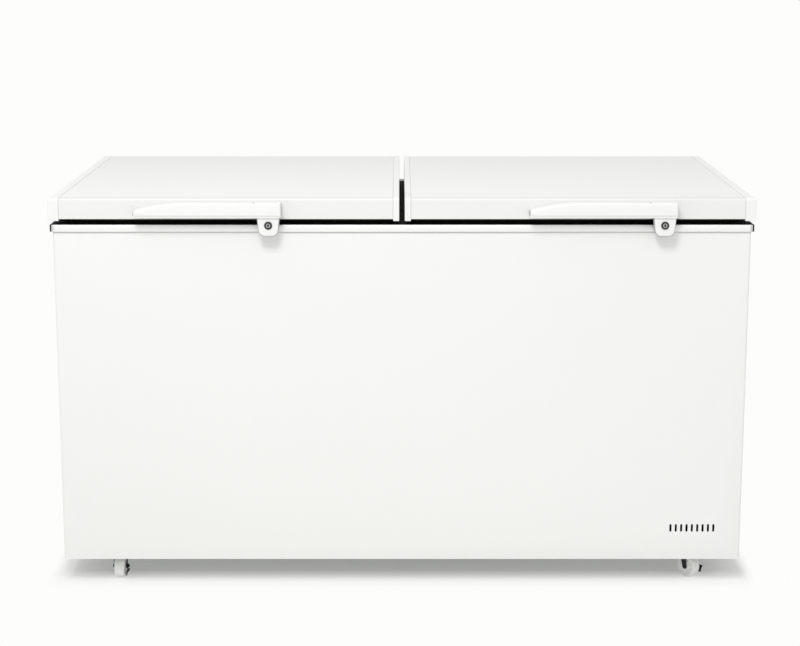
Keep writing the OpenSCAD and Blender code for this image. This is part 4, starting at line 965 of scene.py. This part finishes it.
class FREEZER_OT_handles(bpy.types.Operator):
    """Moulds the handles, with the finger hollow, the lock tab and the screw hole"""

    bl_idname = "freezer.handles"
    bl_label = "Handles"

    def execute(self, context):
        low, high = box("handle_right")
        face, back, base, top = low.y, high.y, GRIP_BASE, high.z
        # the top rises in a bow from the tip on the left
        rise, tip = 110, 14
        drop = top - base - tip
        radius = (rise**2 + drop**2) / (2 * drop)

        def outline(inset, floor):
            x0, x1 = low.x + inset, high.x - inset
            begin = math.degrees(math.acos((x0 - low.x - rise) / (radius - inset)))
            bow = arc((low.x + rise, top - radius), radius - inset, begin, 90, 10)
            return [(x1, floor), (x1, top - inset)] + bow[::-1] + [(x0, floor)]

        gap = 1.2
        grip = prism("handle_right_grip", outline(0, base), (0, face, 0), back - gap - face)
        editing(grip)

        def front(p):
            return p.y < face + 1

        def above(p):
            return p.z > base + 0.5

        def left(p):
            return p.x < low.x + 0.5

        def right(p):
            return p.x > high.x - 0.5

        pick("EDGE", (front, above), (left, above), (right, above), (front, left), (front, right))
        bevel(size("handle_round"), 6, clamp_overlap=True)
        pick("FACE", [lambda p: p.y > back - gap - 0.5])
        bpy.ops.mesh.inset(thickness=size("reveal") * MM)
        extrude((0, gap, 0))
        outward()
        hollow = prism("hollow", outline(4, base - 5), (0, face + 5, 0), back - face - 8)
        cut(grip, rounded(hollow, 2, 3))
        lock = high.x - LOCK_INSET
        screw = (lock - SCREW_OFF, face + SCREW_BEHIND)
        fuse(grip, self.tab(lock))
        cut(
            grip,
            rod("barrel", (lock, TAB_FACE - 5, LOCK_HEIGHT), (lock, TAB_BACK, LOCK_HEIGHT), 7.06, 48),
            rod("screw", (*screw, top - 12), (*screw, top + 5), 1.5),
            prism("chamfer", [(1, -1), (1, 5.4), (-5.4, -1)], (high.x, face - 5, base), 9),
            block("crease", (low.x + 5, face - 1, base + 3.4), (high.x - 4, face + size("crease"), base + 4.6)),
        )
        ready_pair(smooth(grip, 32), "handle_{}_grip", "lid_{}", "white_plastic", "handle_{}", "handle_plastic")
        return {"FINISHED"}

    def tab(self, lock):
        """The tab that hangs from the grip at the lock, hollow from behind."""
        half_width, wall, overlap = 24.5, 2.5, 10

        def outline(inset):
            wide, bend = half_width - inset, TAB_BEND - inset
            right = arc((TAB_FLAT, TAB_BEND_HEIGHT), bend, -90, 0, 7)
            left = arc((-TAB_FLAT, TAB_BEND_HEIGHT), bend, 180, 270, 7)
            top = GRIP_BASE + overlap
            return left + right + [(wide, GRIP_BASE), (wide, top), (-wide, top), (-wide, GRIP_BASE)]

        tab = rounded(prism("tab", outline(0), (lock, TAB_FACE, 0), TAB_BACK - TAB_FACE), 1.6, 3, 60)
        return cut(tab, prism("inner", outline(wall), (lock, TAB_FACE + wall, 0), 30))


class FREEZER_OT_locks(bpy.types.Operator):
    """Turns the lock rings and finishes the cores and strikes"""

    bl_idname = "freezer.locks"
    bl_label = "Locks"

    def execute(self, context):
        low, high = box("lock_bezel_right")
        half = [
            (5.56, 19), (5.56, 0.45), (4.7, 0.45), (4.7, 0.25), (5.2, 0), (7.6, 0), (8.2, 0.3), (8.5, 0.9),
            (8.5, 2.5), (7, 2.5), (7, 19),
        ]
        ring = turned("lock_ring_right", half, ((low.x + high.x) / 2, low.y, (low.z + high.z) / 2), "Y")
        ready_pair(smooth(ring), "lock_ring_{}", "lid_{}", "black_plastic", "lock_bezel_{}")
        keep("lock_core_left lock_core_right", 0.35)
        keep("lock_strikes", 0.3)
        return {"FINISHED"}


class FREEZER_OT_hinges(bpy.types.Operator):
    """Winds the hinge springs and finishes the channels, leaves and screws"""

    bl_idname = "freezer.hinges"
    bl_label = "Hinges"

    def execute(self, context):
        keep("hinge_channels hinge_leaves_left hinge_leaves_right fasteners", 0.3)
        low, high = box("hinge_springs")
        thick, turns, top = size("spring_wire"), bpy.context.scene.freezer_sizes.spring_turns, 786
        middle = (high.y - low.y) / 2
        radius = middle - thick / 2
        x, y = low.x + middle, low.y + middle
        idle()
        bpy.ops.mesh.primitive_circle_add(
            vertices=8, radius=thick / 2 * MM, location=metres((x + radius, y, low.z + thick / 2)),
            rotation=(math.pi / 2, 0, 0),
        )
        coil = named("coil")
        modify_about(
            (x, y, low.z), "object", coil, "SCREW", axis="Z", angle=2 * math.pi * turns, steps=16 * turns,
            render_steps=16 * turns, screw_offset=(top - low.z - thick) * MM, iterations=1,
        )
        editing(coil)
        bpy.ops.mesh.select_all(action="DESELECT")
        bpy.ops.mesh.select_non_manifold()
        bpy.ops.mesh.fill_holes(sides=0)
        outward()
        half = [(0, top), (8.5, top), (8.5, 789), (4.6, 789), (4.6, 831.4), (3.4, 832.7), (0, 832.7)]
        plunger = turned("plunger", half, (x, y, 0), "Z", 24, False)
        spring = smooth(joined("springs", coil, plunger))
        others = [copied(spring, f"spring_{i}", (step, 0, 0)) for i, step in enumerate((460, 766, 1226))]
        ready(joined("hinge_spring_set", spring, *others), "cabinet", "zinc_steel", "hinge_springs")
        return {"FINISHED"}


class FREEZER_OT_casters(bpy.types.Operator):
    """Turns the wheels, presses the forks, bends the brakes and finishes the plates"""

    bl_idname = "freezer.casters"
    bl_label = "Casters"

    def execute(self, context):
        front, rear = [name for name in CASTERS if "front" in name], [name for name in CASTERS if "rear" in name]
        self.spread(self.wheel(), "white_nylon", "wheel_tread_{}", "wheel_{}", "caster_wheel_{}", front + rear)
        # the nuts of the front axles stand outside the brakes, those of the rear ones on the legs
        for nut, corners in ((17.6, front), (14.8, rear)):
            self.spread(self.fork(nut), "dark_metal", "fork_steel_{}", "fork_{}", "caster_fork_{}", corners)
        self.spread(self.brake(), "dark_metal", "brake_steel_{}", "brake_{}", "caster_brake_{}", SIDES)
        keep("caster_plates", 0.4)
        return {"FINISHED"}

    def spread(self, source, slot, name, body, node, corners):
        """Copies a piece that was made at the front left caster to these casters, each on its own body."""
        for corner in corners:
            x, y, turn = CASTERS[corner]
            copy = copied(source, name.format(corner), (x, y, 0), turn, KINGPIN)
            ready(copy, body.format(corner), slot, node.format(corner))
        bpy.data.objects.remove(source)

    def wheel(self):
        low, high = box("caster_wheel_front_left")
        half = [
            (3.1, 11.5), (8.4, 11.5), (9.2, 10.9), (9.6, 9.2), (16.2, 9.0), (17, 10.6), (17.8, 11.5), (21.4, 11.5),
            (23.3, 10.6), (24.4, 8.9), (25 - size("tread") * 0.2, 6.5), (25, 0),
        ]
        half += [(radius, -width) for radius, width in half[-2::-1]]
        return smooth(turned("wheel", half, (low + high) / 2, "X", 64))

    def fork(self, nut):
        """Presses a fork: a crown with its ball race, two legs and the axle, with its outer nut there."""
        x, y, _ = KINGPIN
        half = [(5.06, 66), (16, 66), (17, 64.6), (19, 64.6), (20.6, 66.4), (21, 68), (20.4, 69), (18.5, 68.4),
                (17, 69), (5.06, 69)]
        crown = turned("fork", half, KINGPIN, "Z", 40)
        boss = arc((-TRAIL, AXLE_HEIGHT), 5.6, 190, 370, 10)
        side = [(9, 67.5), (-11, 67.5), (-16, 60), (-21.6, 38)] + boss + [(-8.5, 40), (4, 58)]
        leg = rounded(prism("leg", side, (x + 13, y, 0), 2, "X"), 0.5, 2, 50)
        other = copied(leg, "leg_inner", (-28, 0, 0))

        def bar(name, start, end, *settings):
            return rod(name, (x + start, y - TRAIL, AXLE_HEIGHT), (x + end, y - TRAIL, AXLE_HEIGHT), *settings)

        nuts = [rounded(bar("nut", *ends, 3.9, 6), 0.4) for ends in ((-17, -14.8), (nut, nut + 2))]
        return smooth(fuse(crown, leg, other, bar("axle", -17.2, nut + 2.2, 3), *nuts), 40)

    def brake(self):
        """Bends the brake's lever and its curled pedal."""
        x, y, thick = KINGPIN[0] + 15.4, KINGPIN[1] - TRAIL, 1.8
        boss = arc((0, AXLE_HEIGHT), 5, -20, 160, 10)
        side = boss + [(-9, 21), (-20, 17.5), (-24, 15), (-24, 10.4), (-20, 9.6), (-9, 13.5)]
        lever = rounded(prism("brake", side, (x, y, 0), thick, "X"), 0.5, 2, 50)
        curl = [
            (0, 10.4), (0, 14.6), (1.3, 17.4), (3.6, 19.6), (5.4, 21.8), (5, 24.2), (3, 25.2),
            (2.6, 23.6), (3.6, 22.9), (3.7, 22.2), (2.4, 20.6), (0, 18.4), (-0.9, 15), (-1.4, 10.4),
        ]
        pedal = rounded(prism("pedal", curl, (x + thick, y - 23.6, 0), 10), 0.4, 2, 50)
        bore = rod("bore", (x - 1, y, AXLE_HEIGHT), (x + 3, y, AXLE_HEIGHT), 3.06)
        return smooth(cut(fuse(lever, pedal), bore), 40)


class FREEZER_OT_baskets(bpy.types.Operator):
    """Bends the wires of the hanging baskets"""

    bl_idname = "freezer.baskets"
    bl_label = "Baskets"

    def execute(self, context):
        low, high = box("basket_right")
        thick, hook, bend = size("wire"), size("hook_wire"), size("basket_bend")
        # wires that cross sink into each other where they are welded
        half, weld, overhang = thick / 2, thick * 0.8, 13
        x0, x1 = low.x + half, high.x - half
        y0, y1 = low.y + overhang + half, high.y - overhang - half
        floor, top = low.z + half, high.z - hook + 1
        hoops, cross_hoops = 9, 14
        name = "basket_right_wires"
        wires = repeat(
            wire(name, [(x0, y0, top), (x0, y0, floor), (x0, y1, floor), (x0, y1, top)], half, bend),
            hoops, ((x1 - x0) / (hoops - 1), 0, 0),
        )
        step = (y1 - y0) / (cross_hoops - 1)
        corners = [(x0 + weld, top), (x0 + weld, floor + weld), (x1 - weld, floor + weld), (x1 - weld, top)]
        hoop = wire("cross_hoops", [(x, y0 + step, z) for x, z in corners], half, bend)
        cross_wires = repeat(hoop, cross_hoops - 2, (0, step, 0))
        rings = []
        for z in (floor + 14, (floor + top) / 2, top - 3):
            corners = [(x0, y0 + weld, z), (x1, y0 + weld, z), (x1, y1 - weld, z), (x0, y1 - weld, z)]
            rings.append(wire("ring", corners, half, bend, closed=True))
        x2, x3, z = low.x + hook / 2, high.x - hook / 2, high.z - hook / 2
        hooks = [
            wire("hook", [(x2, wall, z), (x2, end, z), (x3, end, z), (x3, wall, z)], hook / 2, 9, 10)
            for wall, end in ((y0, low.y + hook / 2), (y1, high.y - hook / 2))
        ]
        basket = smooth(joined(name, wires, cross_wires, *rings, *hooks), 50)
        ready_pair(basket, "basket_{}_wires", "basket_{}_frame", "coated_wire", "basket_{}")
        return {"FINISHED"}


class FREEZER_OT_cooling(bpy.types.Operator):
    """Bends the refrigerant tubes, turns the drier and finishes the machine bay"""

    bl_idname = "freezer.cooling"
    bl_label = "Machine bay"

    def execute(self, context):
        keep("compressor fan_shroud", 0.4)
        keep("compressor_feet")
        keep("condenser_coil", 0, "condenser_paint")
        # height of the tubes that run along the bay, and the drier's place along X
        high, x = 334.2, 509.5
        runs = {
            "suction": (4, ((560, 312.5, 335.2), (560, 312.5, 290.2), (535, 297.5, 260.2), (500, 262.5, 236.45),
                            (490, 217.5, 230.2), (490, 187.5, 230.2), (515, 187.5, 230.2))),
            "discharge": (4, ((610, 92.5, 201.2), (610, 67.5, 201.2), (630, 37.5, 241.2), (701.5, -2.5, 324.2),
                              (701.5, -62.5, high), (701.5, -307.5, high), (701.5, -307.5, 326.2))),
            "liquid": (4, ((x, -307.5, 326.2), (x, -307.5, high), (x, -195, high))),
            "capillary": (2, ((x, -110, high), (x, -57.5, high), (539.5, 102.5, high),
                              (580, 240.8, 324.2), (600, 280.8, 316.2), (600, 280.8, 335.2))),
        }
        tubes = [wire(name, line, radius, 18, 10) for name, (radius, line) in runs.items()]
        half = [(0, -198), (4.6, -198), (5.2, -193), (9, -187), (9, -116), (4.5, -108), (2.6, -105), (0, -105)]
        drier = smooth(turned("drier", half, (x, 0, high), "Y", 32, False))
        ready(joined("refrigerant_tubes", *tubes, drier), "cabinet", "copper_tube", "refrigerant_lines")
        return {"FINISHED"}


class FREEZER_OT_grille(bpy.types.Operator):
    """Presses the louvres of the rear grille"""

    bl_idname = "freezer.grille"
    bl_label = "Rear grille"

    def execute(self, context):
        keep("rear_grille", 0.3)
        low, high = box("rear_grille")
        sunk = 0.4
        y, out = high.y - sunk, size("louvre") + sunk
        x0, x1, z = low.x + 44 + out / 2, low.x + 151.5 - out / 2, low.z + 26
        # how far out the hood stands, as a share, at each height
        side = [(0, 6.5), (0.45, 5.8), (0.75, 4), (0.93, 1), (1, -3.2)]
        hood = drawn("louvres", laid([(-out * share, rise) for share, rise in side], (x0, y, z), "XZ"))
        quarter_turn(4, x0, y)
        extrude((x1 - x0, 0, 0))
        quarter_turn(4, x1, y)
        outward()
        modify(hood, "SOLIDIFY", thickness=0.8 * MM, offset=-1)
        repeat(hood, 12, (0, 0, 20.09))
        repeat(hood, 2, (121.5, 0, 0))
        ready(smooth(hood, 50), "cabinet", "painted_steel")
        return {"FINISHED"}


class FREEZER_OT_fan(bpy.types.Operator):
    """Shapes the fan's hub and its twisted blades"""

    bl_idname = "freezer.fan"
    bl_label = "Fan"

    def execute(self, context):
        low, high = box("fan_blades")
        axle = pivot("fan_spin")
        axle.y = (low.y + high.y) / 2
        half = [(3.4, -7), (14, -7), (17, -5.6), (18, -3), (18, 7), (15.5, 7), (15.5, 4), (3.4, 4)]
        hub = turned("fan_hub", half, axle, "Y", 40)
        # a blade along X, from inside the hub to its tip
        root, tip, wide, flare, count = 14, 75, 30, 1.12, 5
        middle = Vector(metres((axle.x + (tip + root) / 2, axle.y, axle.z)))
        idle()
        bpy.ops.mesh.primitive_grid_add(
            x_subdivisions=10, y_subdivisions=5, size=(tip - root) * MM, location=middle,
            rotation=(math.pi / 2, 0, 0),
        )
        blade = named("blade")
        editing(blade)
        bpy.ops.transform.resize(value=(1, 1, wide / (tip - root)), center_override=middle)
        pick("VERT", [lambda p: p.x > middle.x / MM])
        bpy.ops.transform.resize(value=(1, 1, flare), center_override=middle)
        pick("VERT", [lambda p: p.x > axle.x + tip - 1 and abs(p.z - axle.z) > 14])
        bevel(5, 3, affect="VERTICES")
        idle()
        modify(blade, "SOLIDIFY", thickness=1.4 * MM, offset=0)
        modify_about(
            middle / MM, "origin", blade, "SIMPLE_DEFORM", deform_method="TWIST", deform_axis="X",
            angle=math.radians(-14),
        )
        pitch = Matrix.Rotation(math.radians(-31), 4, "X")
        blade.data.transform(Matrix.Translation(middle) @ pitch @ Matrix.Translation(-middle))
        others = [copied(blade, f"blade_{i}", turn=360 * i / count, about=axle, axis="Y") for i in range(1, count)]
        fan = smooth(joined("fan_rotor", hub, blade, *others), 45)
        ready(fan, "fan", SLOT_OF["fan_blades"], "fan_blades")
        return {"FINISHED"}


class FREEZER_OT_controls(bpy.types.Operator):
    """Finishes the thermostat, its knob, the gland and the drain"""

    bl_idname = "freezer.controls"
    bl_label = "Controls and drain"

    def execute(self, context):
        keep("thermostat cord_gland drain_tube drain_plug", 0.4)
        self.knob()
        self.marks()
        return {"FINISHED"}

    def knob(self):
        """Turns the knob, gives it its grip and its ribs, and sets a white line in it."""
        low, high = box("thermostat_knob")
        x, y, z = low.x, (low.y + high.y) / 2, (low.z + high.z) / 2
        half = [(0, 3.6), (3.2, 3.6), (3.2, 0), (16.4, 0), (17, 0.6), (17, 4.6), (16, 6), (0, 6)]
        knob = turned("knob", half, (x, y, z), "X", 48, False)
        flutes = rod("flutes", (x - 1, y, z + 17.6), (x + 8, y, z + 17.6), 1, 8)
        editing(flutes)
        centre = metres((x, y, z))
        bpy.ops.mesh.spin(steps=24, angle=2 * math.pi, center=centre, axis=AXES["X"], dupli=True)
        welded()
        idle()
        grip = rounded(block("grip", (x + 4.5, y - 3.8, z - 15.6), (high.x, y + 3.8, z + 15.6)), 1.6, 3)
        cut(grip, rod("bore", (x, y, z), (x + 11, y, z), 3.2))
        fuse(cut(knob, flutes), grip)
        ready(smooth(knob, 40), "thermostat_dial", "black_plastic", "thermostat_knob")
        line = block("knob_line", (high.x - 0.3, y - 0.6, z + 4), (high.x + 0.1, y + 0.6, z + 14))
        ready(rounded(line, 0.1, 1), "thermostat_dial", "white_plastic")

    def marks(self):
        """Prints the numbers of the dial on the rim of its cup."""
        high = box("thermostat")[1]
        centre = pivot("thermostat_turn")
        numbers = []
        for i, (y, z) in enumerate(arc((centre.y, centre.z), 24, 90, -180, 7)):
            idle()
            bpy.ops.object.text_add(location=metres((high.x - 0.02, y, z)), rotation=(math.pi / 2, 0, math.pi / 2))
            number = bpy.context.object
            number.data.body = str(i)
            number.data.size = 4.6 * MM
            number.data.extrude = 0.06 * MM
            number.data.align_x = number.data.align_y = "CENTER"
            bpy.ops.object.convert(target="MESH")
            numbers.append(named(f"number_{i}"))
        dial = joined("dial_numbers", *numbers)
        editing(dial)
        outward()
        ready(dial, "cabinet", "white_plastic")


class FREEZER_OT_stage(bpy.types.Operator):
    """Sets the camera, the soft light and the floor"""

    bl_idname = "freezer.stage"
    bl_label = "Stage"

    def execute(self, context):
        stage, scene = context.scene.freezer_stage, context.scene
        scene.view_settings.view_transform = "Standard"
        data = bpy.data.cameras.new("camera")
        data.sensor_width = 36
        data.lens = stage.lens
        data.shift_y = stage.shift
        scene.camera = self.stand("camera", data, (stage.aside, -stage.distance, stage.height))
        scene.camera.rotation_euler = (math.pi / 2 - stage.tilt, 0, 0)

        lamp = bpy.data.lights.new("key_lamp", "AREA")
        lamp.energy = stage.key
        lamp.shape = "RECTANGLE"
        lamp.size, lamp.size_y = 1.2, 1.0
        place, aim = Vector((-0.65, -3.1, 3.95)), Vector((0, 0, 0.5))
        turn = (aim - place).to_track_quat("-Z", "Y").to_euler()
        self.stand("key_lamp", lamp, place).rotation_euler = turn

        scene.world = bpy.data.worlds.new("studio")
        sky = Finish("studio", scene.world)
        white = sky.value("Background", 0, values={0: stage.backdrop, 1: 1.0})
        light = sky.value("Background", 0, values={0: (1, 1, 1, 1), 1: stage.fill})
        shown = sky.value("MixShader", 0, values={0: self.seen(sky), 1: light, 2: white})
        sky.node("OutputWorld", values={0: shown})

        idle()
        bpy.ops.mesh.primitive_grid_add(x_subdivisions=8, y_subdivisions=8, size=24, location=(0, 0, 0))
        floor = named("floor")
        f = Finish("studio_floor")
        # matt under the freezer, yet with a little of the backdrop's glow that lifts its shadow there as painted
        # light, and as plain as the backdrop further away, sooner so at its sides
        half_width, half_depth, sooner = 0.768, 0.245, 3.5
        x = f.least(abs(f.axis("X")) - half_width, 0) * sooner
        y = f.least(abs(f.axis("Y")) - half_depth, 0)
        # even at the first stop some glow is mixed in: painted light on the floor's shadow
        away = f.ramp(f.far(x, y), (0.005, 0.17), (0.037, 0.4), (0.067, 0.69), (0.097, 0.91), (0.13, 1))
        matt = f.value("BsdfDiffuse", 0, values={0: (0.9, 0.905, 0.885, 1)})
        plain = f.value("Emission", 0, values={0: stage.backdrop, 1: 1.0})
        both = f.value("MixShader", 0, values={0: away * self.seen(f), 1: matt, 2: plain})
        f.node("OutputMaterial", values={0: both})
        floor.data.materials.append(f.owner)
        return {"FINISHED"}

    def stand(self, name, data, place):
        """Puts a camera or a lamp at its place."""
        made = bpy.data.objects.new(name, data)
        bpy.context.collection.objects.link(made)
        made.location = place
        return made

    def seen(self, finish):
        """One for rays that come from the camera, a mirror or glass."""
        path = finish.node("LightPath")
        camera, glossy, through = (
            Value(finish, path.outputs[f"Is {kind} Ray"]) for kind in ("Camera", "Glossy", "Transmission")
        )
        return finish.maths("MINIMUM", camera + glossy + through, 1.0)


GROUPS = {"freezer_colours": FreezerColours, "freezer_sizes": FreezerSizes, "freezer_stage": FreezerStage}
STEPS = (
    FREEZER_OT_casing, FREEZER_OT_rails, FREEZER_OT_lids, FREEZER_OT_seals, FREEZER_OT_handles,
    FREEZER_OT_locks, FREEZER_OT_hinges, FREEZER_OT_casters, FREEZER_OT_baskets, FREEZER_OT_cooling,
    FREEZER_OT_grille, FREEZER_OT_fan, FREEZER_OT_controls, FREEZER_OT_stage,
)


class FREEZER_PT_build(bpy.types.Panel):
    """Lists the pieces of the freezer"""

    bl_idname = "FREEZER_PT_build"
    bl_label = "Chest freezer"
    bl_space_type = "VIEW_3D"
    bl_region_type = "UI"
    bl_category = "Freezer"

    def draw(self, context):
        column = self.layout.column()
        for step in STEPS:
            column.operator(step.bl_idname, text=step.bl_label)
        for group in GROUPS:
            settings = getattr(context.scene, group)
            panel = self.layout.box()
            for name in settings.__annotations__:
                panel.prop(settings, name)


CLASSES = (*GROUPS.values(), *STEPS, FREEZER_PT_build)


def register():
    for each in CLASSES:
        bpy.utils.register_class(each)
    for name, group in GROUPS.items():
        setattr(bpy.types.Scene, name, PointerProperty(type=group))


def unregister():
    for name in GROUPS:
        delattr(bpy.types.Scene, name)
    for each in reversed(CLASSES):
        bpy.utils.unregister_class(each)


def main():
    register()
    for step in STEPS:
        family, name = step.bl_idname.split(".")
        getattr(getattr(bpy.ops, family), name)()
    idle()


if __name__ == "__main__":
    main()
